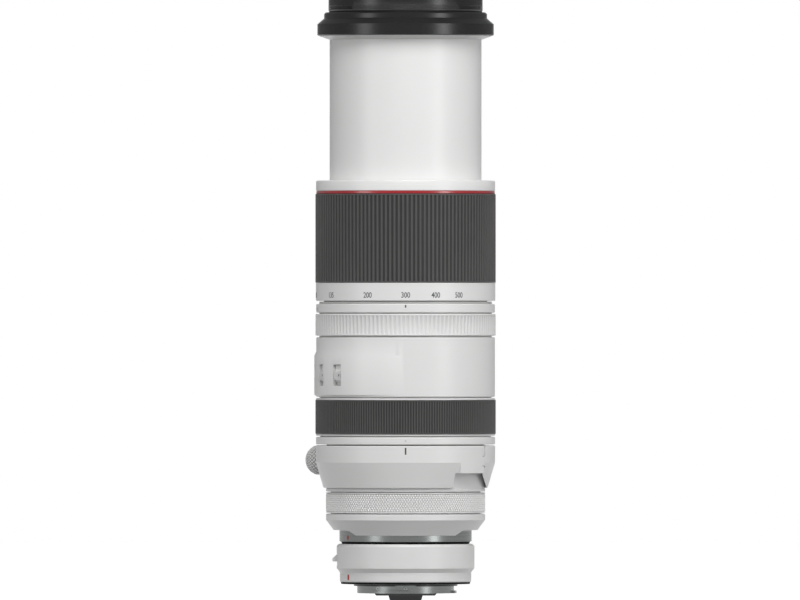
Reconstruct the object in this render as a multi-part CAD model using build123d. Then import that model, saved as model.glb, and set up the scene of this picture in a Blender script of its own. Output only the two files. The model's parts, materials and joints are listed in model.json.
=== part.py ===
from build123d import *
import os
from math import acos, asin, atan2, ceil, cos, degrees, pi, radians, sin, sqrt

# Telephoto zoom lens with a tele converter locked on its rear.
# +Z is the optical axis towards the front, the origin is the centre of the camera flange plane.
# Millimetres. An azimuth counts from the index side (-Y) towards +X.

os.makedirs("parts", exist_ok=True)

# Clearances
RUN_GAP = 0.3            # between turning or sliding pieces and what carries them
SEAT_GAP = 0.05          # between pieces that are fixed to one another
PIN_GAP = 0.05           # running fit of a pin in its hole
RING_LINE = 0.6          # visible line between two neighbouring rings
SLIDE_LINE = 0.3         # line beside a ring that turns against a shoulder

# Outer skins; the main barrel's radius drives them all
BARREL_R = 46.5          # main barrel and index ring
BAND_R = BARREL_R + 0.1  # plain bands, collar and front collar
GRIP_R = BARREL_R + 0.4  # rubber grips
DIAL_R = BARREL_R + 0.2
TENSION_R = BARREL_R + 0.35
EDGE = 0.4               # small chamfer on visible edges
FAR = 3 * BARREL_R       # reach of boxes that only mask or cut

# Nested tubes, from the main barrel inwards
BARREL_WALL = 1.55
SLEEVE_WALL = 1.9
SLEEVE_STEP = 0.5        # the main sleeve is thinner under the focus ring
SLEEVE_SPACE = 0.5       # between the main sleeve and the drive sleeve
DRIVE_WALL = 1.3
SHOE_SPACE = 1.7         # between the drive sleeve and the inner tube
INNER_WALL = 1.6
CAM_WALL = 1.2
GUIDE_WALL = 1.5
SLEEVE_R = BARREL_R - BARREL_WALL - SEAT_GAP
SLEEVE_LOW_R = SLEEVE_R - SLEEVE_STEP
SLEEVE_BORE = SLEEVE_R - SLEEVE_WALL
DRIVE_R = SLEEVE_BORE - SLEEVE_SPACE
DRIVE_BORE = DRIVE_R - DRIVE_WALL
INNER_R = DRIVE_BORE - SHOE_SPACE
INNER_BORE = INNER_R - INNER_WALL
CAM_R = INNER_BORE - RUN_GAP
CAM_BORE = CAM_R - CAM_WALL
GUIDE_R = CAM_BORE - RUN_GAP
GUIDE_BORE = GUIDE_R - GUIDE_WALL

# Rear end, from the main barrel inwards
COLLAR_SEAT_R = BAND_R - 5.6
REAR_R = COLLAR_SEAT_R + 0.4     # rear housing and stop lip
CONTROL_RING_R = REAR_R + 0.1
CONTROL_SEAT_R = REAR_R - 2.5
REAR_LOW_R = REAR_R - 4.5
REAR_LOW_BORE = REAR_LOW_R - 1.9
REAR_TOP_BORE = COLLAR_SEAT_R - 4.0
HOUSING_FOOT_R = REAR_R - 3.9
COLLAR_LOW_R = COLLAR_SEAT_R + 1.8

# Front end, from the inner tube
FRONT_R = INNER_R + 6.4          # widest edge of the front ring
FLARE_R = FRONT_R - 1.0
FRONT_STEP_R = FRONT_R - 3.5
FRONT_TOP_R = INNER_R + 0.6
FILTER_R = FRONT_TOP_R - 1.6
FILTER_LOW_BORE = FILTER_R - 0.5
NAME_RING_BORE = FILTER_LOW_BORE - 3.4

# Converter, from the camera flange plane upwards
CAMERA_GASKET_H = 1.1
CONVERTER_BAND_H = 5.0
CONVERTER_CHAMFER_H = 2.2
CONVERTER_BODY_H = 12.6
THROAT_R = 27.0          # of the lens mount bayonet
CONVERTER_R = 35.85
CONVERTER_BAND_R = CONVERTER_R - 1.65
CONVERTER_CORNER = 1.3
CONVERTER_FLOOR_H = 2.45
CONVERTER_CAVITY_R = THROAT_R + 0.4
FLANGE_H = 3.0           # thickness of the camera flange
FLANGE_R = CONVERTER_BAND_R - 1.2
GASKET_R = FLANGE_R + 0.6
Z_BAND = CAMERA_GASKET_H
Z_CHAMFER = Z_BAND + CONVERTER_BAND_H
Z_BODY = Z_CHAMFER + CONVERTER_CHAMFER_H
Z_LENS_FLANGE = Z_BODY + CONVERTER_BODY_H

# Bayonets
BAYONET_R = THROAT_R - 1.8
BAYONET_BORE = BAYONET_R - 1.6
LUG_R = BAYONET_R + 1.4
LUG_H = 1.3
BAYONET_DEPTH = 4.75
LUG_SPAN = 50.0
LUG_AZIMUTHS = (-20.0, 100.0, 220.0)
FEMALE_LUG_R = BAYONET_R + RUN_GAP
FEMALE_LUG_H = 3.1
FEMALE_RING_H = 3.5
FEMALE_RING_R = CONVERTER_R - 2.45
BOSS_H = 1.0
BOSS_SEAT = 0.4          # depth of the groove in the flange that takes the boss ring

# Lens mount and rear end
MOUNT_GASKET_H = 1.2
MOUNT_RING_H = 5.5
MOUNT_R = THROAT_R + 7.4
MOUNT_LAND_R = MOUNT_R - 2.6
MOUNT_GASKET_R = MOUNT_R - 1.4
HOUSING_LIFT = 0.5       # from the mount ring's top to the housing's lower edge
HOUSING_CONE_H = 5.3
HOUSING_BAND_H = 3.1
VISOR_H = 2.7
VISOR_TOP_HALF = 30.0
VISOR_LOW_HALF = 25.9
CONTROL_RING_H = 10.6
STOP_LIP_H = 1.6
Z_MOUNT_GASKET = Z_LENS_FLANGE + MOUNT_GASKET_H
Z_MOUNT_TOP = Z_MOUNT_GASKET + MOUNT_RING_H
Z_HOUSING = Z_MOUNT_TOP + HOUSING_LIFT
Z_HOUSING_CONE = Z_HOUSING + HOUSING_CONE_H
Z_HOUSING_TOP = Z_HOUSING_CONE + HOUSING_BAND_H
CONTROL_LINE = 0.5
Z_CONTROL = Z_HOUSING_TOP + CONTROL_LINE
Z_CONTROL_TOP = Z_CONTROL + CONTROL_RING_H
Z_STOP_LIP = Z_CONTROL_TOP + CONTROL_LINE

# Tripod collar
COLLAR_H = 22.0
COLLAR_CONE_H = 13.3
Z_SEAT = Z_STOP_LIP + STOP_LIP_H
Z_COLLAR = Z_SEAT + SLIDE_LINE
Z_COLLAR_TOP = Z_COLLAR + COLLAR_H
Z_SHOULDER = Z_COLLAR_TOP + RING_LINE

# Rings of the main barrel
SHOULDER_H = 3.9
FOCUS_H = 19.6
MAIN_H = 31.0
TENSION_LINE = 0.8
TENSION_H = 11.4
INDEX_H = 4.5
ZOOM_GROOVE = 1.6
Z_SHOULDER_TOP = Z_SHOULDER + SHOULDER_H
Z_FOCUS = Z_SHOULDER_TOP + RING_LINE
Z_FOCUS_TOP = Z_FOCUS + FOCUS_H
Z_MAIN = Z_FOCUS_TOP + RING_LINE
Z_MAIN_TOP = Z_MAIN + MAIN_H
Z_TENSION = Z_MAIN_TOP + TENSION_LINE
Z_TENSION_TOP = Z_TENSION + TENSION_H
Z_INDEX = Z_TENSION_TOP + RING_LINE
Z_INDEX_TOP = Z_INDEX + INDEX_H

# Zoom ring
DIAL_H = 9.4
ZOOM_GRIP_H = 46.2
ZOOM_SEAT_R = BAND_R - 1.2
RED_RING_H = 1.5
FRONT_COLLAR_H = 5.4
Z_ZOOM = Z_INDEX_TOP + ZOOM_GROOVE
Z_ZOOM_GRIP = Z_ZOOM + DIAL_H
Z_RED = Z_ZOOM_GRIP + ZOOM_GRIP_H + 2 * SEAT_GAP
Z_FRONT_COLLAR = Z_RED + RED_RING_H + SEAT_GAP
Z_NOSE = Z_FRONT_COLLAR + FRONT_COLLAR_H

# Zoom travel, from the pictured setting
SETTING_BACK = 84.0      # degrees to the shortest mark
SETTING_ON = 36.3        # degrees to the longest mark
BARREL_BACK = 74.8       # the inner barrel goes in by this much at the shortest mark
STOWED_LINE = 0.5
VARIATOR_TRAVEL = 25.0   # of the variator over the whole turn
RISE_PER_DEGREE = BARREL_BACK / SETTING_BACK
BARREL_ON = RISE_PER_DEGREE * SETTING_ON
FULL_TURN = SETTING_BACK + SETTING_ON
VARIATOR_PER_DEGREE = VARIATOR_TRAVEL / FULL_TURN

# Flanges under the drive, all stacked on the rear barrel
SHOULDER_FLOOR = 1.8
SLEEVE_FLANGE_H = 1.2
GUIDE_FLANGE_H = 1.2
SCREW_HEAD_H = 1.0
DRIVE_FLANGE_H = 1.5
CAM_FLANGE_H = 1.2
Z_SLEEVE = Z_SHOULDER + SHOULDER_FLOOR
Z_GUIDE = Z_SLEEVE + SLEEVE_FLANGE_H
Z_GUIDE_FLANGE_TOP = Z_GUIDE + GUIDE_FLANGE_H
Z_DRIVE = Z_GUIDE_FLANGE_TOP + SCREW_HEAD_H + RUN_GAP
Z_CAM = Z_DRIVE + DRIVE_FLANGE_H
Z_INNER_STOWED = Z_CAM + CAM_FLANGE_H + 2 * RUN_GAP + 0.7
Z_INNER = Z_INNER_STOWED + BARREL_BACK

# Cam rollers
ROLLER_R = 2.0
ROLLER_SLOT_GAP = 0.15
ROLLER_LIFT = 3.0
ROLLER_AZIMUTHS = (30.0, 150.0, 270.0)
SLOT_R = ROLLER_R + ROLLER_SLOT_GAP
SLOT_END_R = SLOT_R + 0.05
SLOT_STEPS = 24          # sections of one helical slot
TUBE_END = 2.3           # ring left above the slots
Z_ROLLER = Z_INNER + ROLLER_LIFT
Z_CAM_TOP = Z_ROLLER + BARREL_ON + SLOT_R + TUBE_END

# Front barrel
Z_FLARE_EDGE = Z_NOSE + STOWED_LINE + BARREL_BACK
FLARE_H = 1.9
FLARE_LIP = 0.2
FRONT_FLANGE_H = 6.0
FRONT_CHAMFER_H = 3.0
FRONT_STEP_H = 3.1
FRONT_TOP_H = 7.1
FILTER_DEPTH = 4.8
NAME_RING_H = 3.0
Z_FLARE = Z_FLARE_EDGE - FLARE_H - FLARE_LIP
Z_FRONT_CHAMFER = Z_FLARE_EDGE + FRONT_FLANGE_H
Z_FRONT_STEP = Z_FRONT_CHAMFER + FRONT_CHAMFER_H
Z_FRONT_TOP = Z_FRONT_STEP + FRONT_STEP_H
Z_FRONT_END = Z_FRONT_TOP + FRONT_TOP_H
Z_FILTER_FLOOR = Z_FRONT_END - FILTER_DEPTH
Z_INNER_TOP = Z_FILTER_FLOOR - NAME_RING_H - 2 * SEAT_GAP


def at_azimuth(radius, azimuth, height=0.0):
    """Point at a radius and an azimuth."""
    turn = radians(azimuth)
    return Vector(radius * sin(turn), -radius * cos(turn), height)


def turned(*points):
    """Solid of revolution about the optical axis, from (radius, height) points."""
    outline = [Vector(radius, 0, height) for radius, height in points]
    return revolve(make_face(Polyline(*outline, close=True)), Axis.Z)


def tube(inner, outer, bottom, top):
    """Plain tube about the optical axis."""
    return turned((inner, bottom), (outer, bottom), (outer, top), (inner, top))


def rod(radius, centre, bottom, top):
    """Round rod parallel to the optical axis through a point."""
    length = top - bottom
    return Pos(centre.X, centre.Y, bottom + length / 2) * Cylinder(radius, length)


def radial_rod(radius, inner, outer, azimuth, height):
    """Round rod that points away from the optical axis."""
    start = Plane(origin=at_azimuth(inner, azimuth, height), z_dir=at_azimuth(1, azimuth))
    return extrude(start * Circle(radius), outer - inner)


def side_rod(radius, start_x, end_x, y, z):
    """Round rod along X."""
    plane = Plane(origin=(start_x, y, z), z_dir=(1, 0, 0))
    return extrude(plane * Circle(radius), end_x - start_x)


def cross_rod(radius, start_y, end_y, x, z):
    """Round rod along Y."""
    plane = Plane(origin=(x, start_y, z), z_dir=(0, 1, 0))
    return extrude(plane * Circle(radius), end_y - start_y)


def block(x_range, y_range, z_range):
    """Box between two corners."""
    low = Vector(x_range[0], y_range[0], z_range[0])
    high = Vector(x_range[1], y_range[1], z_range[1])
    size = high - low
    centre = (low + high) * 0.5
    return Pos(centre.X, centre.Y, centre.Z) * Box(size.X, size.Y, size.Z)


def radial_block(inner, outer, width, z_range, azimuth):
    """Box whose thickness points away from the optical axis."""
    solid = block((-width / 2, width / 2), (-outer, -inner), z_range)
    return Rot(0, 0, azimuth) * solid


def wedge(reach, start, stop, bottom, top):
    """Pie slice between two azimuths, that reaches past a radius."""
    steps = ceil((stop - start) / 30.0)
    far = reach * 1.2
    rim = [at_azimuth(far, start + (stop - start) * i / steps, bottom) for i in range(steps + 1)]
    slice_face = make_face(Polyline(Vector(0, 0, bottom), *rim, close=True))
    return extrude(slice_face, top - bottom, dir=(0, 0, 1))


def sector(inner, outer, start, stop, bottom, top):
    """Piece of a tube between two azimuths."""
    return tube(inner, outer, bottom, top) & wedge(outer, start, stop, bottom, top)


def bow(radius, rho):
    """Height that a spherical face loses at a distance from its axis."""
    if radius == 0:
        return 0.0
    side = 1 if radius > 0 else -1
    return side * (abs(radius) - sqrt(radius ** 2 - rho ** 2))


def lens(edge_r, back, front, back_radius, front_radius):
    """Glass element; back and front are heights on the axis, a positive radius bulges, zero is flat."""
    half = edge_r / 2
    low = Vector(edge_r, 0, back + bow(back_radius, edge_r))
    high = Vector(edge_r, 0, front - bow(front_radius, edge_r))
    low_mid = Vector(half, 0, back + bow(back_radius, half))
    high_mid = Vector(half, 0, front - bow(front_radius, half))
    axis_low = Vector(0, 0, back)
    axis_high = Vector(0, 0, front)
    back_edge = ThreePointArc(axis_low, low_mid, low) if back_radius else Line(axis_low, low)
    front_edge = ThreePointArc(high, high_mid, axis_high) if front_radius else Line(high, axis_high)
    outline = [back_edge, Line(low, high), front_edge, Line(axis_high, axis_low)]
    return revolve(make_face(outline), Axis.Z)


def solids_of(shape):
    """All solids of a shape or of a list of shapes."""
    if isinstance(shape, (list, tuple)):
        return [solid for item in shape for solid in solids_of(item)]
    return list(shape.solids())


def save(name, *shapes):
    """Write one named piece, or one group of like pieces."""
    solids = solids_of(shapes)
    whole = solids[0] if len(solids) == 1 else Compound(solids)
    export_step(whole, f"parts/{name}.step")
    return whole


# Converter housing: a cup with a floor, a stepped outside and a recess for each mount.
Z_CUP_FLOOR = FLANGE_H + SEAT_GAP
Z_CUP = Z_CUP_FLOOR + CONVERTER_FLOOR_H
Z_FEMALE_RING = Z_LENS_FLANGE - FEMALE_RING_H
CELL_R = 17.0
CELL_BORE = CELL_R - 1.8
CELL_REACH = 19.1        # the converter's front tube reaches into the lens by this much
CELL_FLANGE_R = THROAT_R - 0.5
CELL_FLANGE_H = 1.0
CONVERTER_BACK_CURVE = 45.0
CONVERTER_FRONT_CURVE = 38.0
LEVER_AZIMUTH = -90.0
LEVER_W = 7.0
LEVER_TRAVEL = 2.0
LEVER_H = 3.5
LEVER_NOSE_R = CONVERTER_R + 2.25
LEVER_NOSE_H = 1.8
Z_LEVER = 11.7
LOCK_PIN_R = 1.0
LOCK_PIN_AT = 30.0
LOCK_PIN_RISE = 1.3      # of the pin above the lens flange
BRIDGE_W = 5.0
BRIDGE_H = 2.5
BRIDGE_INNER = LOCK_PIN_AT - 1.5
BRIDGE_OUTER = CONVERTER_R - 1.65
SPRING_POCKET = (1.9, 3.2)       # radius and depth of the blind hole for the lever's spring
MOUNT_SCREW_AT = 29.6
SCREW_R = 1.0            # the same small screw holds both mounts and the barrel
SCREW_HEAD_R = 1.7
SCREW_L = 5.0
SCREW_CROSS = (2.2, 0.4)
CAMERA_SCREW_AZIMUTHS = (45.0, 135.0, 225.0, 315.0)
LENS_SCREW_AZIMUTHS = (30.0, 150.0, 210.0, 330.0)

lever_low = Z_LEVER - LEVER_TRAVEL - RUN_GAP
lever_high = Z_LEVER + LEVER_H + RUN_GAP
pin_place = at_azimuth(LOCK_PIN_AT, LEVER_AZIMUTH)


def screw(place, seat, upwards):
    """Small screw whose head lies on a seat; the shank points up or down the axis."""
    head_end = seat - upwards * SCREW_HEAD_H
    tip = seat + upwards * SCREW_L
    head = rod(SCREW_HEAD_R, place, min(seat, head_end), max(seat, head_end))
    shank = rod(SCREW_R, place, min(seat, tip), max(seat, tip))
    half_l, half_w = SCREW_CROSS[0] / 2, SCREW_CROSS[1] / 2
    depth = (head_end - half_w, head_end + half_w)
    slot_x = block((place.X - half_l, place.X + half_l), (place.Y - half_w, place.Y + half_w), depth)
    slot_y = block((place.X - half_w, place.X + half_w), (place.Y - half_l, place.Y + half_l), depth)
    return head + shank - slot_x - slot_y


def screw_hole(place, seat, upwards):
    """Counterbored hole for the same screw."""
    bore_end = seat - upwards * (SCREW_HEAD_H + 1.0)
    hole_end = seat + upwards * (SCREW_L + 2 * SEAT_GAP)
    bore = rod(SCREW_HEAD_R + SEAT_GAP, place, min(seat, bore_end), max(seat, bore_end))
    hole = rod(SCREW_R + SEAT_GAP, place, min(seat, hole_end), max(seat, hole_end))
    return bore + hole


screw_sink = SCREW_HEAD_H + SEAT_GAP
camera_screws = [(at_azimuth(MOUNT_SCREW_AT, azimuth), screw_sink, 1) for azimuth in CAMERA_SCREW_AZIMUTHS]
lens_screws = [
    (at_azimuth(MOUNT_SCREW_AT, azimuth), Z_LENS_FLANGE + screw_sink, 1) for azimuth in LENS_SCREW_AZIMUTHS
]
camera_holes = [screw_hole(*place) for place in camera_screws]
lens_holes = [screw_hole(*place) for place in lens_screws]

housing = turned(
    (FLANGE_R + SEAT_GAP, Z_BAND),
    (CONVERTER_BAND_R - EDGE, Z_BAND),
    (CONVERTER_BAND_R, Z_BAND + EDGE),
    (CONVERTER_BAND_R, Z_CHAMFER),
    (CONVERTER_R, Z_BODY),
    (CONVERTER_R, Z_LENS_FLANGE - CONVERTER_CORNER),
    (CONVERTER_R - 0.4 * CONVERTER_CORNER, Z_LENS_FLANGE - 0.4 * CONVERTER_CORNER),
    (CONVERTER_R - CONVERTER_CORNER, Z_LENS_FLANGE),
    (FEMALE_RING_R + SEAT_GAP, Z_LENS_FLANGE),
    (FEMALE_RING_R + SEAT_GAP, Z_FEMALE_RING - SEAT_GAP),
    (CONVERTER_CAVITY_R, Z_FEMALE_RING - SEAT_GAP),
    (CONVERTER_CAVITY_R, Z_CUP),
    (CELL_R + SEAT_GAP, Z_CUP),
    (CELL_R + SEAT_GAP, Z_CUP_FLOOR),
    (FLANGE_R + SEAT_GAP, Z_CUP_FLOOR),
)
lever_space = (lever_low, lever_high)
lever_reach = CONVERTER_R + 4
lever_channel = radial_block(
    BRIDGE_INNER - RUN_GAP, lever_reach, BRIDGE_W + 2 * RUN_GAP, lever_space, LEVER_AZIMUTH
)
lever_window = radial_block(
    BRIDGE_OUTER - RUN_GAP, lever_reach, LEVER_W + 2 * RUN_GAP, lever_space, LEVER_AZIMUTH
)
pin_bore = rod(LOCK_PIN_R + 3 * PIN_GAP, pin_place, lever_low, Z_FEMALE_RING)
spring_pocket = rod(SPRING_POCKET[0], pin_place, lever_low - SPRING_POCKET[1], lever_low)
housing = housing - lever_channel - lever_window - pin_bore - spring_pocket
save("converter_housing", housing - camera_holes)

# Female bayonet that holds the lens
female_lugs = [
    sector(FEMALE_LUG_R, THROAT_R + 0.1, azimuth - LUG_SPAN / 2, azimuth + LUG_SPAN / 2,
           Z_LENS_FLANGE - FEMALE_LUG_H, Z_LENS_FLANGE)
    for azimuth in LUG_AZIMUTHS
]
lens_side_ring = tube(THROAT_R, FEMALE_RING_R, Z_FEMALE_RING, Z_LENS_FLANGE)
for lug in female_lugs:
    lens_side_ring = lens_side_ring + lug
lens_side_ring = lens_side_ring - rod(LOCK_PIN_R + 3 * PIN_GAP, pin_place, Z_FEMALE_RING, Z_LENS_FLANGE)
save("converter_lens_mount", lens_side_ring)

# Male bayonet that goes into the camera
camera_mount = turned(
    (BAYONET_BORE, -BAYONET_DEPTH),
    (BAYONET_R, -BAYONET_DEPTH),
    (BAYONET_R, BOSS_SEAT),
    (THROAT_R + SEAT_GAP, BOSS_SEAT),
    (THROAT_R + SEAT_GAP, 0),
    (FLANGE_R, 0),
    (FLANGE_R, FLANGE_H),
    (BAYONET_BORE, FLANGE_H),
)
for azimuth in LUG_AZIMUTHS:
    camera_mount = camera_mount + sector(
        BAYONET_R - 0.2, LUG_R, azimuth - LUG_SPAN / 2, azimuth + LUG_SPAN / 2,
        -BAYONET_DEPTH, -BAYONET_DEPTH + LUG_H)
camera_mount = camera_mount - rod(3 * PIN_GAP + 1.6, at_azimuth(MOUNT_SCREW_AT, 0), -1, 2.2)
save("converter_camera_mount", camera_mount - camera_holes)

save("converter_gasket", turned(
    (FLANGE_R + SEAT_GAP, SEAT_GAP),
    (GASKET_R - 0.2, SEAT_GAP),
    (GASKET_R, SEAT_GAP + 0.2),
    (GASKET_R, Z_BAND - SEAT_GAP),
    (FLANGE_R + SEAT_GAP, Z_BAND - SEAT_GAP),
))
boss_ring = tube(BAYONET_R + SEAT_GAP, THROAT_R, -BOSS_H, BOSS_SEAT - SEAT_GAP)
save("mount_boss_ring", boss_ring - sector(BAYONET_R, LUG_R + 0.6, -12, 12, -BOSS_H, -0.6 * BOSS_H))

# Baffle: a chamfered plate under the bayonet tube with a hood round the light window
PLATE_X = 16.0
PLATE_Y = (-15.0, 14.0)
PLATE_H = 1.15
HOOD_X = 8.9
HOOD_Y = (-12.5, 11.5)
HOOD_END = -9.2
HOOD_TAPER = 1.0
WINDOW_X = 7.0
WINDOW_Y = (-10.6, 9.6)
BAFFLE_COLLAR_H = 3.0
plate_top = -BAYONET_DEPTH
plate = block((-PLATE_X, PLATE_X), PLATE_Y, (plate_top - PLATE_H, plate_top))
plate = chamfer(plate.edges().group_by(Axis.Z)[0], 0.8)
hood_mid = (HOOD_Y[0] + HOOD_Y[1]) / 2
hood_low = Plane.XY.offset(HOOD_END) * Pos(0, hood_mid) * Rectangle(
    2 * (HOOD_X - HOOD_TAPER), HOOD_Y[1] - HOOD_Y[0] - 2 * HOOD_TAPER)
hood_high = Plane.XY.offset(plate_top - PLATE_H) * Pos(0, hood_mid) * Rectangle(
    2 * HOOD_X, HOOD_Y[1] - HOOD_Y[0])
hood = loft([hood_low, hood_high])
sleeve_in_tube = tube(BAYONET_BORE - 1.6, BAYONET_BORE - SEAT_GAP, plate_top, plate_top + BAFFLE_COLLAR_H)
above_plate = block((-FAR, FAR), (-FAR, PLATE_Y[1]), (plate_top, plate_top + BAFFLE_COLLAR_H))
sleeve_in_tube = sleeve_in_tube & above_plate
plate_rim = tube(HOOD_X, BAYONET_BORE - SEAT_GAP, plate_top, plate_top + 0.8) & above_plate
window = block((-WINDOW_X, WINDOW_X), WINDOW_Y, (HOOD_END - 1, plate_top + 1))
inside = Cylinder(14.0, 4)
inside = Pos(0, 0, plate_top + 2.0) * inside
save("converter_baffle", plate + hood + sleeve_in_tube + plate_rim - window - inside)

# Optical tube of the converter and its rear glass element
cell_top = Z_LENS_FLANGE + CELL_REACH
save("converter_front_cell", turned(
    (CELL_BORE, Z_CUP_FLOOR - 2.5),
    (CELL_R, Z_CUP_FLOOR - 2.5),
    (CELL_R, Z_CUP),
    (CELL_FLANGE_R, Z_CUP),
    (CELL_FLANGE_R, Z_CUP + CELL_FLANGE_H),
    (CELL_R, Z_CUP + CELL_FLANGE_H),
    (CELL_R, cell_top - 1.0),
    (CELL_R - 1.0, cell_top),
    (CELL_BORE - 0.7, cell_top),
    (CELL_BORE - 0.7, cell_top - 0.8),
    (CELL_BORE, cell_top - 0.8),
))
converter_glass_r = CELL_BORE - SEAT_GAP
save("converter_element", lens(converter_glass_r, Z_CUP_FLOOR - 0.5, Z_CUP_FLOOR + 5.0,
                               CONVERTER_BACK_CURVE, CONVERTER_FRONT_CURVE))

# Contact block of the converter, facing the camera
CONTACT_R = (19.6, BAYONET_BORE - SEAT_GAP)
CONTACT_SPAN = 38.0
CONTACT_COUNT = 11
CONTACT_H = 2.2
contact_face = plate_top + 0.4
contacts = sector(CONTACT_R[0], CONTACT_R[1], 180 - CONTACT_SPAN, 180 + CONTACT_SPAN,
                  contact_face, contact_face + CONTACT_H)
for i in range(CONTACT_COUNT):
    azimuth = 180 + CONTACT_SPAN * 0.85 * (2 * i / (CONTACT_COUNT - 1) - 1)
    contacts = contacts - rod(0.75, at_azimuth(21.6, azimuth), contact_face, contact_face + 0.25)
save("converter_contacts", contacts)

# Release lever: thumb nose outside, bridge through the wall, and the lock pin above the bridge
bridge_low = Z_LEVER
bridge_high = Z_LEVER + BRIDGE_H
nose = turned(
    (BRIDGE_OUTER, Z_LEVER),
    (LEVER_NOSE_R - 0.4, Z_LEVER),
    (LEVER_NOSE_R, Z_LEVER + 0.4),
    (LEVER_NOSE_R, Z_LEVER + LEVER_NOSE_H - 0.3),
    (CONVERTER_R + 0.15, Z_LEVER + LEVER_H),
    (BRIDGE_OUTER, Z_LEVER + LEVER_H),
)
nose_width = (Z_LEVER - 1, Z_LEVER + LEVER_H + 1)
nose = nose & radial_block(LOCK_PIN_AT, LEVER_NOSE_R + 1, LEVER_W, nose_width, LEVER_AZIMUTH)
bridge = radial_block(BRIDGE_INNER, BRIDGE_OUTER + 0.4, BRIDGE_W, (bridge_low, bridge_high), LEVER_AZIMUTH)
pin_hole = rod(LOCK_PIN_R + PIN_GAP, pin_place, bridge_low, bridge_high)
save("release_lever", nose + bridge - pin_hole)
save("lock_pin", rod(LOCK_PIN_R, pin_place, bridge_low, Z_LENS_FLANGE + LOCK_PIN_RISE))


# Lens mount: flange, land that meets the converter, and the locked male bayonet
mount_ring = turned(
    (BAYONET_BORE, Z_LENS_FLANGE - BAYONET_DEPTH),
    (BAYONET_R, Z_LENS_FLANGE - BAYONET_DEPTH),
    (BAYONET_R, Z_LENS_FLANGE),
    (MOUNT_LAND_R, Z_LENS_FLANGE),
    (MOUNT_LAND_R, Z_MOUNT_GASKET),
    (MOUNT_R - EDGE / 2, Z_MOUNT_GASKET),
    (MOUNT_R, Z_MOUNT_GASKET + EDGE / 2),
    (MOUNT_R, Z_MOUNT_TOP),
    (BAYONET_BORE, Z_MOUNT_TOP),
)
for azimuth in LUG_AZIMUTHS:
    mount_ring = mount_ring + sector(
        BAYONET_R - 0.2, LUG_R, azimuth - LUG_SPAN / 2, azimuth + LUG_SPAN / 2,
        Z_LENS_FLANGE - BAYONET_DEPTH, Z_LENS_FLANGE - FEMALE_LUG_H - RUN_GAP)
mount_ring = mount_ring - rod(LOCK_PIN_R + 3 * PIN_GAP, pin_place, Z_LENS_FLANGE,
                              Z_LENS_FLANGE + LOCK_PIN_RISE + RUN_GAP)
save("lens_mount_ring", mount_ring - lens_holes)
save("mount_gasket", turned(
    (MOUNT_LAND_R + SEAT_GAP, Z_LENS_FLANGE),
    (MOUNT_GASKET_R, Z_LENS_FLANGE),
    (GASKET_R, Z_MOUNT_GASKET),
    (MOUNT_LAND_R + SEAT_GAP, Z_MOUNT_GASKET),
))

# Rear barrel: one casting with the mount flange, the control ring seat, the stop lip, the collar
# seat and the shoulder that carries the main sleeve.
REAR_FLOOR_H = 2.5
REAR_NECK_R = MOUNT_R
BOARD_BORE = REAR_NECK_R - 1.4
REAR_FLOOR_BORE = BAYONET_BORE + 2.4
z_neck = Z_HOUSING + 3.4
z_board_top = Z_MOUNT_TOP + 5.4
z_control_seat = Z_HOUSING_TOP + 0.2
rear_barrel = turned(
    (REAR_FLOOR_BORE, Z_MOUNT_TOP),
    (REAR_NECK_R, Z_MOUNT_TOP),
    (REAR_NECK_R, z_neck),
    (REAR_LOW_R, z_neck),
    (REAR_LOW_R, z_control_seat),
    (CONTROL_SEAT_R, z_control_seat),
    (CONTROL_SEAT_R, Z_STOP_LIP),
    (REAR_R - 0.2, Z_STOP_LIP),
    (REAR_R, Z_STOP_LIP + 0.2),
    (REAR_R, Z_SEAT - 0.2),
    (REAR_R - 0.2, Z_SEAT),
    (COLLAR_SEAT_R, Z_SEAT),
    (COLLAR_SEAT_R, Z_SHOULDER),
    (BAND_R - EDGE, Z_SHOULDER),
    (BAND_R, Z_SHOULDER + EDGE),
    (BAND_R, Z_SHOULDER_TOP - EDGE),
    (BAND_R - EDGE, Z_SHOULDER_TOP),
    (SLEEVE_LOW_R + SEAT_GAP, Z_SHOULDER_TOP),
    (SLEEVE_LOW_R + SEAT_GAP, Z_SLEEVE),
    (REAR_TOP_BORE, Z_SLEEVE),
    (REAR_TOP_BORE, Z_SEAT - 0.7),
    (REAR_LOW_BORE, Z_STOP_LIP - 0.6),
    (REAR_LOW_BORE, z_board_top),
    (BOARD_BORE, z_board_top),
    (BOARD_BORE, Z_MOUNT_TOP + REAR_FLOOR_H),
    (REAR_FLOOR_BORE, Z_MOUNT_TOP + REAR_FLOOR_H),
)

# Screws that hold the main sleeve and the guide tube on the rear barrel
BARREL_SCREW_COUNT = 6
BARREL_SCREW_AT = REAR_TOP_BORE + 2.2
barrel_screw_seats = [
    (at_azimuth(BARREL_SCREW_AT, 15 + 360 * i / BARREL_SCREW_COUNT), Z_GUIDE_FLANGE_TOP, -1)
    for i in range(BARREL_SCREW_COUNT)
]
barrel_screw_holes = [screw_hole(*place) for place in barrel_screw_seats]
save("small_screws", [screw(*place) for place in camera_screws + lens_screws + barrel_screw_seats])
save("rear_barrel", rear_barrel - barrel_screw_holes - lens_holes)

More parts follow.
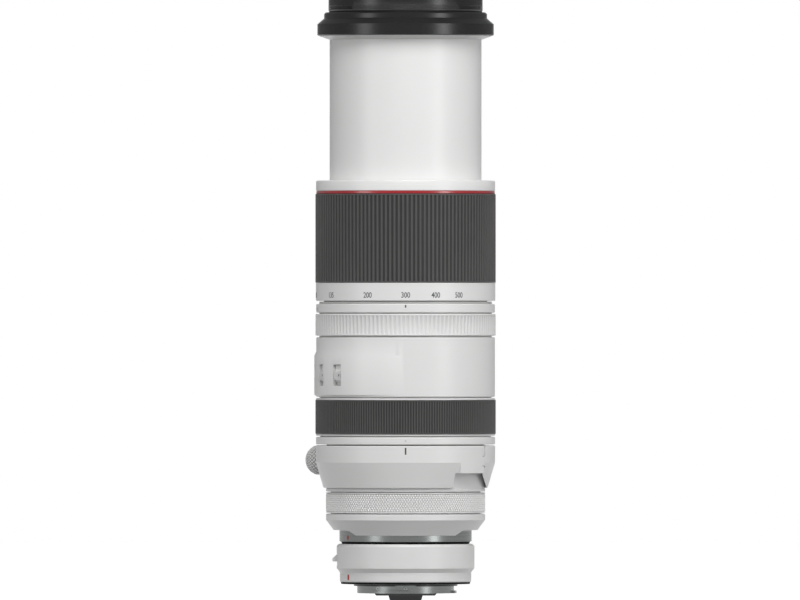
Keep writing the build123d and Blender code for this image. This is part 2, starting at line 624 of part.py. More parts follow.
# Rear housing with the visor over the mount ring
skirt_bore = MOUNT_R + RUN_GAP
visor_foot_r = HOUSING_FOOT_R - VISOR_H * (REAR_R - HOUSING_FOOT_R) / HOUSING_CONE_H
rear_housing = turned(
    (skirt_bore, Z_HOUSING),
    (HOUSING_FOOT_R, Z_HOUSING),
    (REAR_R, Z_HOUSING_CONE),
    (REAR_R, Z_HOUSING_TOP - EDGE),
    (REAR_R - EDGE, Z_HOUSING_TOP),
    (REAR_LOW_R + SEAT_GAP, Z_HOUSING_TOP),
    (REAR_LOW_R + SEAT_GAP, z_neck - SEAT_GAP),
    (skirt_bore, z_neck - SEAT_GAP),
)
visor = turned(
    (skirt_bore, Z_HOUSING - VISOR_H),
    (visor_foot_r, Z_HOUSING - VISOR_H),
    (HOUSING_FOOT_R, Z_HOUSING),
    (HOUSING_FOOT_R, Z_HOUSING + 0.3),
    (skirt_bore, Z_HOUSING + 0.3),
)
visor_front = Plane(origin=(0, -FAR, 0), x_dir=(1, 0, 0), z_dir=(0, -1, 0))
visor_mask = make_face(Polyline(
    (-VISOR_TOP_HALF, Z_HOUSING + 0.3),
    (-VISOR_TOP_HALF, Z_HOUSING),
    (-VISOR_LOW_HALF, Z_HOUSING - VISOR_H),
    (VISOR_LOW_HALF, Z_HOUSING - VISOR_H),
    (VISOR_TOP_HALF, Z_HOUSING),
    (VISOR_TOP_HALF, Z_HOUSING + 0.3),
    close=True,
))
visor = visor & extrude(visor_front * visor_mask, -FAR)
save("rear_housing", rear_housing + visor)

# Control ring round its seat
save("control_ring", turned(
    (CONTROL_SEAT_R + RUN_GAP, Z_CONTROL),
    (CONTROL_RING_R - EDGE, Z_CONTROL),
    (CONTROL_RING_R, Z_CONTROL + EDGE),
    (CONTROL_RING_R, Z_CONTROL_TOP - EDGE),
    (CONTROL_RING_R - EDGE, Z_CONTROL_TOP),
    (CONTROL_SEAT_R + RUN_GAP, Z_CONTROL_TOP),
))

# Main circuit board above the mount, with its two rows of parts
BOARD_H = 1.2
z_board = Z_MOUNT_TOP + REAR_FLOOR_H + 0.4
board = tube(BOARD_BORE - 14.0, BOARD_BORE - SEAT_GAP, z_board, z_board + BOARD_H)
chip_height = (z_board + BOARD_H - 0.1, z_board + BOARD_H + 0.9)
for azimuth in (-110, -70, -20, 25, 80, 140, 200):
    board = board + radial_block(BOARD_BORE - 9.5, BOARD_BORE - 3.5, 7.0, chip_height, azimuth)
save("main_circuit_board", board)

# Optics barrel: seat of the rear element, space for the focus group, shelf of the stabiliser
OPTICS_R = REAR_LOW_BORE - 2 * SEAT_GAP
OPTICS_WALL = 1.8
OPTICS_BORE = OPTICS_R - OPTICS_WALL
ROD_AT = OPTICS_BORE - 5.1
REAR_GLASS_R = ROD_AT - 10.0
OPTICS_FLOOR_H = 1.4
REAR_CUP_H = 6.0
SHELF_BORE = OPTICS_BORE - 14.2
z_optics_floor = Z_LENS_FLANGE + CELL_REACH + 1.2
z_optics_top = Z_SLEEVE - 0.8
z_rear_glass = z_optics_floor + OPTICS_FLOOR_H
cup_top = z_rear_glass + REAR_CUP_H
# Focus group on two guide rods
FOCUS_TRAVEL = 4.0
FOCUS_CELL_H = 5.0
FOCUS_CELL_BORE = ROD_AT - 6.0
FOCUS_GLASS_R = FOCUS_CELL_BORE - 1.0
ROD_R = 1.5
FRAME_H = 1.5
z_focus_cell = cup_top + RUN_GAP + 0.4 + FOCUS_TRAVEL
z_frame = z_focus_cell + FOCUS_CELL_H + FOCUS_TRAVEL + RUN_GAP
save("optics_barrel", turned(
    (OPTICS_BORE, z_board_top),
    (OPTICS_R, z_board_top),
    (OPTICS_R, z_optics_top),
    (OPTICS_BORE, z_optics_top),
    (OPTICS_BORE, z_frame + FRAME_H),
    (SHELF_BORE, z_frame + FRAME_H),
    (SHELF_BORE, z_frame),
    (OPTICS_BORE, z_frame),
    (OPTICS_BORE, z_rear_glass),
    (REAR_GLASS_R + 2.0, z_rear_glass),
    (REAR_GLASS_R + 2.0, cup_top),
    (REAR_GLASS_R + SEAT_GAP, cup_top),
    (REAR_GLASS_R + SEAT_GAP, z_rear_glass),
    (REAR_GLASS_R - 1.2, z_rear_glass),
    (REAR_GLASS_R - 1.2, z_optics_floor),
    (OPTICS_BORE, z_optics_floor),
))
save("rear_element", lens(REAR_GLASS_R, z_rear_glass + 0.05, z_rear_glass + 4.2, 0, 70))
rod_places = [at_azimuth(ROD_AT, azimuth) for azimuth in (0, 180)]
save("focus_guide_rods", [rod(ROD_R, place, z_rear_glass, z_frame) for place in rod_places])
focus_cell = turned(
    (FOCUS_CELL_BORE, z_focus_cell),
    (OPTICS_BORE - 2 * RUN_GAP, z_focus_cell),
    (OPTICS_BORE - 2 * RUN_GAP, z_focus_cell + FOCUS_CELL_H),
    (FOCUS_CELL_BORE, z_focus_cell + FOCUS_CELL_H),
)
focus_seat = tube(FOCUS_GLASS_R - 1.0, FOCUS_CELL_BORE + 0.5, z_focus_cell, z_focus_cell + 0.8)
rod_holes = [rod(ROD_R + PIN_GAP, place, z_focus_cell, z_focus_cell + FOCUS_CELL_H) for place in rod_places]
save("focus_cell", focus_cell + focus_seat - rod_holes)
save("focus_element", lens(FOCUS_CELL_BORE - SEAT_GAP, z_focus_cell + 0.85, z_focus_cell + 3.6, 0, 90))

# Image stabiliser: a frame, a carrier that moves up and down and one that moves across it
SHIFT = 1.0
SHIFT_RING_R = OPTICS_BORE - 3.5
CARRIER_R = SHIFT_RING_R - 2.1
STABILISER_GLASS_R = CARRIER_R - 10.0
CARRIER_HUB_R = STABILISER_GLASS_R + 2.0
SHIFT_RING_BORE = CARRIER_HUB_R + SHIFT + RUN_GAP
z_shift_ring = z_frame + FRAME_H + RUN_GAP
z_carrier = z_shift_ring + 1.6 + RUN_GAP
save("stabiliser_up_down", tube(SHIFT_RING_BORE, SHIFT_RING_R, z_shift_ring, z_shift_ring + 1.6))
carrier = tube(STABILISER_GLASS_R + SEAT_GAP, CARRIER_R, z_carrier, z_carrier + 2.0)
carrier = carrier + tube(STABILISER_GLASS_R - 0.8, CARRIER_HUB_R, z_carrier - 0.9, z_carrier + 0.1)
carrier = carrier + tube(STABILISER_GLASS_R + SEAT_GAP, CARRIER_HUB_R, z_carrier, z_carrier + 4.2)
save("stabiliser_carrier", carrier)
save("stabiliser_element", lens(STABILISER_GLASS_R, z_carrier + 0.15, z_carrier + 3.6, 0, 80))

# Main sleeve, with the flange it stands on
save("main_sleeve", turned(
    (REAR_TOP_BORE + 1.0, Z_SLEEVE),
    (SLEEVE_LOW_R, Z_SLEEVE),
    (SLEEVE_LOW_R, Z_MAIN - RUN_GAP),
    (SLEEVE_R, Z_MAIN - RUN_GAP),
    (SLEEVE_R, Z_ZOOM - RUN_GAP),
    (SLEEVE_BORE, Z_ZOOM - RUN_GAP),
    (SLEEVE_BORE, Z_GUIDE),
    (REAR_TOP_BORE + 1.0, Z_GUIDE),
) - barrel_screw_holes)

# Iris unit, a closed ring seated in the guide tube
IRIS_H = 6.0
IRIS_BORE = GUIDE_BORE - 15.6
z_iris = Z_GUIDE_FLANGE_TOP + 3.0
save("iris_unit", turned(
    (IRIS_BORE, z_iris),
    (GUIDE_BORE - SEAT_GAP, z_iris),
    (GUIDE_BORE - SEAT_GAP, z_iris + IRIS_H),
    (IRIS_BORE + 4, z_iris + IRIS_H),
    (IRIS_BORE + 2, z_iris + IRIS_H - 1.5),
    (IRIS_BORE, z_iris + IRIS_H - 1.5),
))

# Variator pins and the slots they run in
VARIATOR_PIN_LIFT = 10.0
VARIATOR_H = 26.0
VARIATOR_GLASS_R = GUIDE_BORE - 4.6
VARIATOR_BACK = VARIATOR_PER_DEGREE * SETTING_BACK
VARIATOR_ON = VARIATOR_PER_DEGREE * SETTING_ON
Z_VARIATOR = z_iris + IRIS_H + 1.5 + VARIATOR_BACK
z_variator_pin = Z_VARIATOR + VARIATOR_PIN_LIFT
# The variator's slots lie midway between two front slots of the cam tube.
slot_low_end = (z_variator_pin - VARIATOR_BACK - (Z_ROLLER - BARREL_BACK)) / RISE_PER_DEGREE
slot_high_end = (z_variator_pin + VARIATOR_ON - (Z_ROLLER - BARREL_BACK)) / RISE_PER_DEGREE + 120.0
VARIATOR_OFFSET = (slot_low_end + slot_high_end - FULL_TURN) / 2
VARIATOR_AZIMUTHS = tuple(azimuth + VARIATOR_OFFSET for azimuth in ROLLER_AZIMUTHS)


def straight_slot(azimuth, low, high):
    """Slot along the axis with round ends, through the guide tube's wall."""
    reach = (GUIDE_BORE - 2, GUIDE_R + 2)
    middle = radial_block(reach[0], reach[1], 2 * SLOT_R, (low, high), azimuth)
    ends = [radial_rod(SLOT_END_R, reach[0], reach[1], azimuth, height) for height in (low, high)]
    return middle, ends


def helical_slot(azimuth, height_at_rest, rise_per_degree):
    """Slot that takes a pin's travel from the tube's turn, right-handed, with round ends."""
    wall_mid = (CAM_BORE + CAM_R) / 2
    low = height_at_rest - rise_per_degree * SETTING_BACK
    first = azimuth - SETTING_BACK
    arc_per_degree = radians(wall_mid)
    sections = []
    for i in range(SLOT_STEPS + 1):
        turn = FULL_TURN * i / SLOT_STEPS
        outwards = at_azimuth(1, first + turn)
        along = Vector(-outwards.Y, outwards.X, 0) * arc_per_degree + Vector(0, 0, rise_per_degree)
        plane = Plane(origin=at_azimuth(wall_mid, first + turn, low + rise_per_degree * turn),
                      x_dir=outwards, z_dir=along)
        sections.append(plane * Rectangle(3 * CAM_WALL, 2 * SLOT_R))
    ends = [
        radial_rod(SLOT_END_R, CAM_BORE - 2, CAM_R + 2, first, low),
        radial_rod(SLOT_END_R, CAM_BORE - 2, CAM_R + 2, first + FULL_TURN, low + rise_per_degree * FULL_TURN),
    ]
    return loft(sections), ends


def cut_slot(wall, slot):
    """Cut a slot's middle, then its round ends."""
    middle, ends = slot
    wall = wall - middle
    for end in ends:
        wall = wall - end
    return wall


guide_tube = turned(
    (GUIDE_BORE, Z_GUIDE),
    (SLEEVE_BORE - RUN_GAP, Z_GUIDE),
    (SLEEVE_BORE - RUN_GAP, Z_GUIDE_FLANGE_TOP),
    (GUIDE_R, Z_GUIDE_FLANGE_TOP),
    (GUIDE_R, Z_CAM_TOP),
    (GUIDE_BORE, Z_CAM_TOP),
)
for azimuth in ROLLER_AZIMUTHS:
    guide_tube = cut_slot(guide_tube, straight_slot(azimuth, Z_ROLLER - BARREL_BACK, Z_ROLLER + BARREL_ON))
for azimuth in VARIATOR_AZIMUTHS:
    guide_tube = cut_slot(guide_tube, straight_slot(azimuth, z_variator_pin - VARIATOR_BACK,
                                                    z_variator_pin + VARIATOR_ON))
save("guide_tube", guide_tube - barrel_screw_holes)

cam_tube = turned(
    (CAM_BORE, Z_CAM),
    (DRIVE_BORE - RUN_GAP, Z_CAM),
    (DRIVE_BORE - RUN_GAP, Z_CAM + CAM_FLANGE_H),
    (CAM_R, Z_CAM + CAM_FLANGE_H),
    (CAM_R, Z_CAM_TOP),
    (CAM_BORE, Z_CAM_TOP),
)
for azimuth in ROLLER_AZIMUTHS:
    cam_tube = cut_slot(cam_tube, helical_slot(azimuth, Z_ROLLER, RISE_PER_DEGREE))
for azimuth in VARIATOR_AZIMUTHS:
    cam_tube = cut_slot(cam_tube, helical_slot(azimuth, z_variator_pin, VARIATOR_PER_DEGREE))
save("cam_tube", cam_tube)

# Variator: a cell with three pins that reach through both tubes
variator_cell = turned(
    (VARIATOR_GLASS_R + SEAT_GAP, Z_VARIATOR),
    (GUIDE_BORE - RUN_GAP, Z_VARIATOR),
    (GUIDE_BORE - RUN_GAP, Z_VARIATOR + VARIATOR_H),
    (VARIATOR_GLASS_R + SEAT_GAP, Z_VARIATOR + VARIATOR_H),
    (VARIATOR_GLASS_R + SEAT_GAP, Z_VARIATOR + 17.0),
    (VARIATOR_GLASS_R - 1.5, Z_VARIATOR + 16.0),
    (VARIATOR_GLASS_R - 1.5, Z_VARIATOR + 9.0),
    (VARIATOR_GLASS_R + SEAT_GAP, Z_VARIATOR + 8.0),
)
for azimuth in VARIATOR_AZIMUTHS:
    pin = radial_rod(ROLLER_R, GUIDE_BORE - 2.0, CAM_R - 0.1, azimuth, z_variator_pin)
    variator_cell = variator_cell + pin
save("variator_cell", variator_cell)
save("variator_element", lens(VARIATOR_GLASS_R, Z_VARIATOR + 17.1, Z_VARIATOR + 22.5, 0, 90))

# Focus ring: white ring with a seat for its rubber
FOCUS_SEAT_R = BAND_R - 0.9
FOCUS_EDGE = 0.8
z_focus_grip = Z_FOCUS + FOCUS_EDGE
z_focus_grip_top = Z_FOCUS_TOP - FOCUS_EDGE
save("focus_ring", turned(
    (SLEEVE_LOW_R + RUN_GAP, Z_FOCUS),
    (BAND_R - 0.3, Z_FOCUS),
    (BAND_R, Z_FOCUS + 0.3),
    (BAND_R, z_focus_grip),
    (FOCUS_SEAT_R, z_focus_grip),
    (FOCUS_SEAT_R, z_focus_grip_top),
    (BAND_R, z_focus_grip_top),
    (BAND_R, Z_FOCUS_TOP - 0.3),
    (BAND_R - 0.3, Z_FOCUS_TOP),
    (SLEEVE_LOW_R + RUN_GAP, Z_FOCUS_TOP),
))


def ribbed_band(seat, root, crest, count, bottom, top, border):
    """Rubber band with straight ribs between two plain borders."""
    points = []
    pitch = 360.0 / count
    for i in range(count):
        for part, radius in ((0.0, root), (0.18, crest), (0.62, crest), (0.80, root)):
            points.append(at_azimuth(radius, (i + part) * pitch, bottom + border))
    outline = make_face(Polyline(*points, close=True))
    ribs = extrude(outline, top - bottom - 2 * border, dir=(0, 0, 1))
    bore = rod(seat, Vector(0, 0, 0), bottom - 1, top + 1)
    middle = ribs - bore
    low = tube(seat, crest, bottom, bottom + border)
    high = tube(seat, crest, top - border, top)
    return middle + low + high


FOCUS_RIBS = 210
ZOOM_RIBS = 130
TENSION_FLUTES = 126
RIB_DEPTH = 0.55
save("focus_grip", ribbed_band(FOCUS_SEAT_R + SEAT_GAP, GRIP_R - RIB_DEPTH, GRIP_R, FOCUS_RIBS,
                               z_focus_grip + SEAT_GAP, z_focus_grip_top - SEAT_GAP, 0.6))

# Main barrel with the raised switch area, whose radius is the barrel's own, set off to the side
PANEL_OFFSET = 1.0
PANEL_TOP = 21.4
PANEL_RAMP = 2.5
main_barrel = turned(
    (SLEEVE_R + SEAT_GAP, Z_MAIN),
    (BARREL_R - EDGE, Z_MAIN),
    (BARREL_R, Z_MAIN + EDGE),
    (BARREL_R, Z_MAIN_TOP - EDGE),
    (BARREL_R - EDGE, Z_MAIN_TOP),
    (SLEEVE_R + SEAT_GAP, Z_MAIN_TOP),
)
panel = Pos(-PANEL_OFFSET, 0, 0) * turned(
    (0, Z_MAIN + EDGE),
    (BARREL_R - 0.8, Z_MAIN + EDGE),
    (BARREL_R, Z_MAIN + EDGE + 0.8),
    (BARREL_R, Z_MAIN + PANEL_TOP),
    (BARREL_R - 1.1, Z_MAIN + PANEL_TOP + PANEL_RAMP),
    (0, Z_MAIN + PANEL_TOP + PANEL_RAMP),
)
panel = panel - rod(SLEEVE_R + 0.8, Vector(0, 0, 0), Z_MAIN - 1, Z_MAIN_TOP + 1)
panel = panel & block((-FAR, 0), (-FAR, FAR), (Z_MAIN, Z_MAIN_TOP))
main_barrel = main_barrel + panel

# Slide switches in windows of the main barrel
SWITCH_STEP = 1.75
POCKET_H = 10.9
POCKET_W = 5.9
THUMB_H = 4.3
THUMB_W = 4.9
THUMB_R = BARREL_R + 0.75
PLATE_R = (SLEEVE_R + 0.25, SLEEVE_R + 1.0)
PLATE_W = 5.3
POCKET_LIFT = 6.0
SWITCHES = (
    ("focus_limit_switch", -49.0, 1),
    ("focus_mode_switch", -68.0, 1),
    ("stabiliser_switch", -88.0, 1),
    ("stabiliser_mode_switch", -107.0, 2),
)
z_pocket = Z_MAIN + POCKET_LIFT
z_thumb = z_pocket + 3.0
for name, azimuth, steps in SWITCHES:
    pocket = radial_block(SLEEVE_R - 3, BARREL_R + 5, POCKET_W, (z_pocket, z_pocket + POCKET_H), azimuth)
    main_barrel = main_barrel - pocket
    travel = steps * SWITCH_STEP
    slider = radial_block(PLATE_R[0], PLATE_R[1], PLATE_W,
                          (z_pocket + RUN_GAP + travel, z_pocket + POCKET_H - RUN_GAP), azimuth)
    thumb_low = max(z_thumb, z_pocket + RUN_GAP + travel)
    thumb = radial_block(PLATE_R[1] - 0.2, THUMB_R, THUMB_W, (thumb_low, thumb_low + THUMB_H), azimuth)
    slider = slider + thumb
    for i in range(4):
        groove = thumb_low + 0.65 + i * 1.0 - 0.2
        across = radial_block(THUMB_R - 0.45, THUMB_R + 1, THUMB_W + 1, (groove, groove + 0.4), azimuth)
        slider = slider - across
    save(name, slider)
save("main_barrel", main_barrel)


def fluted_ring(bore, root, crest, count, bottom, top, border):
    """White ring with shallow flutes between two plain rims."""
    points = []
    pitch = 360.0 / count
    for i in range(count):
        points.append(at_azimuth(crest, i * pitch, bottom + border))
        points.append(at_azimuth(root, (i + 0.5) * pitch, bottom + border))
    outline = make_face(Polyline(*points, close=True))
    middle = extrude(outline, top - bottom - 2 * border, dir=(0, 0, 1))
    middle = middle - rod(bore, Vector(0, 0, 0), bottom - 1, top + 1)
    low = turned((bore, bottom), (crest - EDGE, bottom), (crest, bottom + EDGE), (crest, bottom + border),
                 (bore, bottom + border))
    high = turned((bore, top - border), (crest, top - border), (crest, top - EDGE), (crest - EDGE, top),
                  (bore, top))
    return middle + low + high


save("tension_ring", fluted_ring(SLEEVE_R + RUN_GAP, TENSION_R - 0.25, TENSION_R, TENSION_FLUTES,
                                 Z_TENSION, Z_TENSION_TOP, 0.7))
save("index_ring", turned(
    (SLEEVE_R + SEAT_GAP, Z_INDEX),
    (BARREL_R - EDGE, Z_INDEX),
    (BARREL_R, Z_INDEX + EDGE),
    (BARREL_R, Z_INDEX_TOP - EDGE),
    (BARREL_R - EDGE, Z_INDEX_TOP),
    (SLEEVE_R + SEAT_GAP, Z_INDEX_TOP),
))

# Zoom ring, its grip and the drive sleeve that takes its turn to the cam tube
z_zoom_top = Z_FRONT_COLLAR - SEAT_GAP
save("zoom_ring", turned(
    (DRIVE_R + SEAT_GAP, Z_ZOOM),
    (DIAL_R - EDGE, Z_ZOOM),
    (DIAL_R, Z_ZOOM + EDGE),
    (DIAL_R, Z_ZOOM_GRIP),
    (ZOOM_SEAT_R, Z_ZOOM_GRIP),
    (ZOOM_SEAT_R, z_zoom_top),
    (DRIVE_R + SEAT_GAP, z_zoom_top),
))
save("zoom_grip", ribbed_band(ZOOM_SEAT_R + SEAT_GAP, GRIP_R - RIB_DEPTH, GRIP_R, ZOOM_RIBS,
                              Z_ZOOM_GRIP + SEAT_GAP, Z_RED - SEAT_GAP, 0.9))
save("red_ring", turned(
    (ZOOM_SEAT_R + SEAT_GAP, Z_RED),
    (BAND_R - 0.25, Z_RED),
    (BAND_R, Z_RED + 0.25),
    (BAND_R, Z_RED + RED_RING_H - 0.25),
    (BAND_R - 0.25, Z_RED + RED_RING_H),
    (ZOOM_SEAT_R + SEAT_GAP, Z_RED + RED_RING_H),
))
save("drive_sleeve", turned(
    (CAM_BORE, Z_DRIVE),
    (DRIVE_R, Z_DRIVE),
    (DRIVE_R, z_zoom_top),
    (DRIVE_BORE, z_zoom_top),
    (DRIVE_BORE, Z_CAM),
    (CAM_BORE, Z_CAM),
))

# Front collar with the countersink that takes the flare ring
LIP_R = INNER_R + RUN_GAP
COLLAR_CORNER = 0.8
SINK_R = FLARE_R + 0.1
SINK_H = 1.8
WIPER_H = 3.2
save("front_collar", turned(
    (DRIVE_BORE, Z_FRONT_COLLAR),
    (BAND_R - 0.2, Z_FRONT_COLLAR),
    (BAND_R, Z_FRONT_COLLAR + 0.2),
    (BAND_R, Z_NOSE - COLLAR_CORNER),
    (BAND_R - 0.3 * COLLAR_CORNER, Z_NOSE - 0.3 * COLLAR_CORNER),
    (BAND_R - COLLAR_CORNER, Z_NOSE),
    (SINK_R, Z_NOSE),
    (LIP_R, Z_NOSE - SINK_H),
    (LIP_R, Z_NOSE - WIPER_H),
    (DRIVE_BORE, Z_NOSE - WIPER_H),
))

# Inner tube with its rollers and rear guide band
roller_holes = [
    radial_rod(ROLLER_R + SEAT_GAP, INNER_BORE - 1, INNER_R + 1, azimuth, Z_ROLLER)
    for azimuth in ROLLER_AZIMUTHS
]
BAND_LIFT = 4.0
GUIDE_BAND_H = 8.0
band_r = DRIVE_BORE - RUN_GAP
save("inner_tube", turned(
    (INNER_BORE, Z_INNER),
    (INNER_R, Z_INNER),
    (INNER_R, Z_ROLLER + BAND_LIFT),
    (band_r, Z_ROLLER + BAND_LIFT),
    (band_r, Z_ROLLER + BAND_LIFT + GUIDE_BAND_H),
    (INNER_R, Z_ROLLER + BAND_LIFT + GUIDE_BAND_H),
    (INNER_R, Z_INNER_TOP),
    (INNER_BORE, Z_INNER_TOP),
) - roller_holes)
save("cam_rollers", [
    radial_rod(ROLLER_R, GUIDE_BORE + 0.3, INNER_R - 0.1, azimuth, Z_ROLLER)
    for azimuth in ROLLER_AZIMUTHS
])

# Front end
save("flare_ring", turned(
    (INNER_R + SEAT_GAP, Z_FLARE),
    (FLARE_R, Z_FLARE + FLARE_H),
    (FLARE_R, Z_FLARE_EDGE),
    (INNER_R + SEAT_GAP, Z_FLARE_EDGE),
))
filter_ring = turned(
    (INNER_R + SEAT_GAP, Z_FLARE_EDGE),
    (FRONT_R - EDGE, Z_FLARE_EDGE),
    (FRONT_R, Z_FLARE_EDGE + EDGE),
    (FRONT_R, Z_FRONT_CHAMFER),
    (FRONT_STEP_R, Z_FRONT_STEP),
    (FRONT_STEP_R, Z_FRONT_TOP - 0.8),
    (FRONT_STEP_R - 0.8, Z_FRONT_TOP),
    (FRONT_TOP_R - 0.4, Z_FRONT_TOP),
    (FRONT_TOP_R, Z_FRONT_TOP + 1.0),
    (FRONT_TOP_R, Z_FRONT_END - 0.5),
    (FRONT_TOP_R - 0.5, Z_FRONT_END),
    (FILTER_R, Z_FRONT_END),
    (FILTER_R, Z_FILTER_FLOOR),
    (FILTER_LOW_BORE, Z_FILTER_FLOOR),
    (FILTER_LOW_BORE, Z_INNER_TOP + SEAT_GAP),
    (INNER_R + SEAT_GAP, Z_INNER_TOP + SEAT_GAP),
)
# Three short slots behind the rim take the lugs of a hood.
HOOD_SLOT_H = 1.6
for azimuth in (60.0, 180.0, 300.0):
    filter_ring = filter_ring - sector(
        FRONT_TOP_R - 0.55, FRONT_TOP_R + 1, azimuth - 16, azimuth + 16,
        Z_FRONT_TOP + 1.6, Z_FRONT_TOP + 1.6 + HOOD_SLOT_H)
save("filter_ring", filter_ring)
name_low = Z_INNER_TOP + SEAT_GAP
save("name_ring", turned(
    (NAME_RING_BORE, name_low),
    (FILTER_LOW_BORE - SEAT_GAP, name_low),
    (FILTER_LOW_BORE - SEAT_GAP, name_low + NAME_RING_H - 0.1),
    (FILTER_LOW_BORE - 1.2, name_low + NAME_RING_H - 0.1),
    (NAME_RING_BORE, name_low + 0.8),
))

# Front optical group in its cell
CELL_OUT = INNER_BORE - SEAT_GAP
CELL_IN = CELL_OUT - 1.65
FRONT_GLASS_R = CELL_IN - SEAT_GAP
FRONT_CELL_H = 22.0
CELL_LIP = CELL_IN - 5.2
cell_low = Z_INNER_TOP - FRONT_CELL_H
save("front_cell", turned(
    (CELL_LIP, cell_low),
    (CELL_OUT, cell_low),
    (CELL_OUT, Z_INNER_TOP),
    (CELL_IN, Z_INNER_TOP),
    (CELL_IN, cell_low + 11.8),
    (CELL_LIP + 3.0, cell_low + 11.8),
    (CELL_LIP + 3.0, cell_low + 10.6),
    (CELL_IN, cell_low + 10.6),
    (CELL_IN, cell_low + 1.4),
    (CELL_LIP, cell_low + 1.4),
))
save("front_element", lens(FRONT_GLASS_R, cell_low + 8.2 + 3.7, Z_INNER_TOP + 1.6, 0, 105))

# Tripod collar
HINGE_AZIMUTH = 60.5
HINGE_AT = BAND_R - 2.4
PIN_R = 1.2
KNUCKLE_R = 2.4
KNUCKLE_GAP = 0.3
COLLAR_BORE = COLLAR_SEAT_R + RUN_GAP
SPLIT_AZIMUTH = HINGE_AZIMUTH - 180.0
BOSS_START = 38.0
Z_BOSS = Z_COLLAR + 7.8
CUT_START = 35.0
KNUCKLE_STEPS = (3.7, 8.8)        # heights of the middle knuckle above the boss's lower face
CLAMP_X = -16.0
CLAMP_GAP = 0.5
KNOB_Y = BAND_R + 2.0
Z_KNOB = Z_COLLAR + 14.2
STUD_R = 2.45
EAR_R = 6.4
EAR_X = -36.0
BASE_X = 15.5
BASE_Y = BAND_R + 10.4
hinge = at_azimuth(HINGE_AT, HINGE_AZIMUTH)
swing_r = HINGE_AT + COLLAR_BORE + RUN_GAP
pin_low = Z_BOSS + 0.4
pin_high = Z_COLLAR_TOP - 0.6
knuckle_low = Z_BOSS + KNUCKLE_STEPS[0]
knuckle_high = Z_BOSS + KNUCKLE_STEPS[1]

collar = turned(
    (COLLAR_BORE, Z_COLLAR),
    (COLLAR_LOW_R - 0.3, Z_COLLAR),
    (COLLAR_LOW_R, Z_COLLAR + 0.3),
    (BAND_R, Z_COLLAR + COLLAR_CONE_H),
    (BAND_R, Z_COLLAR_TOP - EDGE),
    (BAND_R - EDGE, Z_COLLAR_TOP),
    (COLLAR_BORE, Z_COLLAR_TOP),
)
top_edge = turned(
    (COLLAR_BORE, Z_BOSS),
    (BAND_R, Z_BOSS),
    (BAND_R, Z_COLLAR_TOP - EDGE),
    (BAND_R - EDGE, Z_COLLAR_TOP),
    (COLLAR_BORE, Z_COLLAR_TOP),
)
low = Z_COLLAR - 1
high = Z_COLLAR_TOP + 1
swing_outside = rod(swing_r + RUN_GAP / 2, hinge, low, high)
swing_inside = rod(swing_r - RUN_GAP / 2, hinge, low, high)
tail_side = wedge(BAND_R, -178, SPLIT_AZIMUTH, low, high)
gate_end = HINGE_AZIMUTH - 0.6
base_start = HINGE_AZIMUTH + 3.2

# Hinged gate: the main arc, the boss round the hinge, the tail past the split, and the clamp ear
gate = collar & wedge(BAND_R, SPLIT_AZIMUTH, CUT_START, low, high)
gate = gate + (collar & wedge(BAND_R, CUT_START - 0.5, gate_end, Z_BOSS, high))
gate = gate + (top_edge & wedge(BAND_R, BOSS_START, gate_end, Z_BOSS, high))
tail_limit = block((-FAR, CLAMP_X - CLAMP_GAP), (0, FAR), (low, high))
tail = (collar & tail_side & tail_limit) - swing_outside
ear_height = (Z_KNOB - EAR_R + 0.4, Z_KNOB + EAR_R - 0.4)
ear_web = block((EAR_X, CLAMP_X - CLAMP_GAP), (COLLAR_BORE - 15.0, KNOB_Y), ear_height)
ear_round = side_rod(EAR_R, EAR_X, CLAMP_X - CLAMP_GAP, KNOB_Y, Z_KNOB)
ear = (ear_web + ear_round) - swing_outside - rod(BAND_R - 1.0, Vector(0, 0, 0), low, high)
gate = gate + tail + ear
gate = gate + [
    rod(KNUCKLE_R, hinge, Z_BOSS, knuckle_low - KNUCKLE_GAP / 2),
    rod(KNUCKLE_R, hinge, knuckle_high + KNUCKLE_GAP / 2, Z_COLLAR_TOP),
]
gate = gate - rod(KNUCKLE_R + RUN_GAP, hinge, knuckle_low - KNUCKLE_GAP / 2, knuckle_high + KNUCKLE_GAP / 2)
gate = gate - rod(PIN_R + PIN_GAP, hinge, low, high)
gate = gate - side_rod(STUD_R + PIN_GAP, EAR_X - 1, CLAMP_X + 1, KNOB_Y, Z_KNOB)
save("collar_gate", gate)

# Fixed half with the lip inside the gate's tail and the block that carries the foot
LIP_START = -142.0
base = collar & wedge(BAND_R, base_start, 360 + SPLIT_AZIMUTH, low, high)
lip_gone = wedge(BAND_R, LIP_START, SPLIT_AZIMUTH + 1, low, high)
slant = Plane(origin=(0, -FAR, 0), x_dir=(1, 0, 0), z_dir=(0, -1, 0))
lug_cut = make_face(Polyline(
    (hinge.X - 2.5, low), (hinge.X + 4.1, low), (hinge.X + 1.1, Z_BOSS), (hinge.X + 0.5, Z_BOSS + 0.5),
    (hinge.X - 2.5, Z_BOSS + 0.5), close=True))
base = base - lip_gone - ((tail_side & block((-FAR, CLAMP_X), (0, FAR), (low, high))) - swing_inside)
base = base - extrude(slant * lug_cut, -FAR)
foot_height = (Z_COLLAR + 0.6, Z_COLLAR_TOP - 0.6)
foot_block = block((CLAMP_X + CLAMP_GAP, BASE_X), (COLLAR_BORE - 5.0, BASE_Y), foot_height)
foot_block = foot_block - rod(BAND_R - 1.5, Vector(0, 0, 0), low, high)
base = base + foot_block
base = base + rod(KNUCKLE_R, hinge, knuckle_low + KNUCKLE_GAP / 2, knuckle_high - KNUCKLE_GAP / 2)
knuckle_arm = wedge(BAND_R, HINGE_AZIMUTH, base_start + 1, knuckle_low + KNUCKLE_GAP / 2,
                    knuckle_high - KNUCKLE_GAP / 2)
base = base + (collar & knuckle_arm)
base = base - rod(KNUCKLE_R + RUN_GAP, hinge, Z_BOSS - 1, knuckle_low + KNUCKLE_GAP / 2)
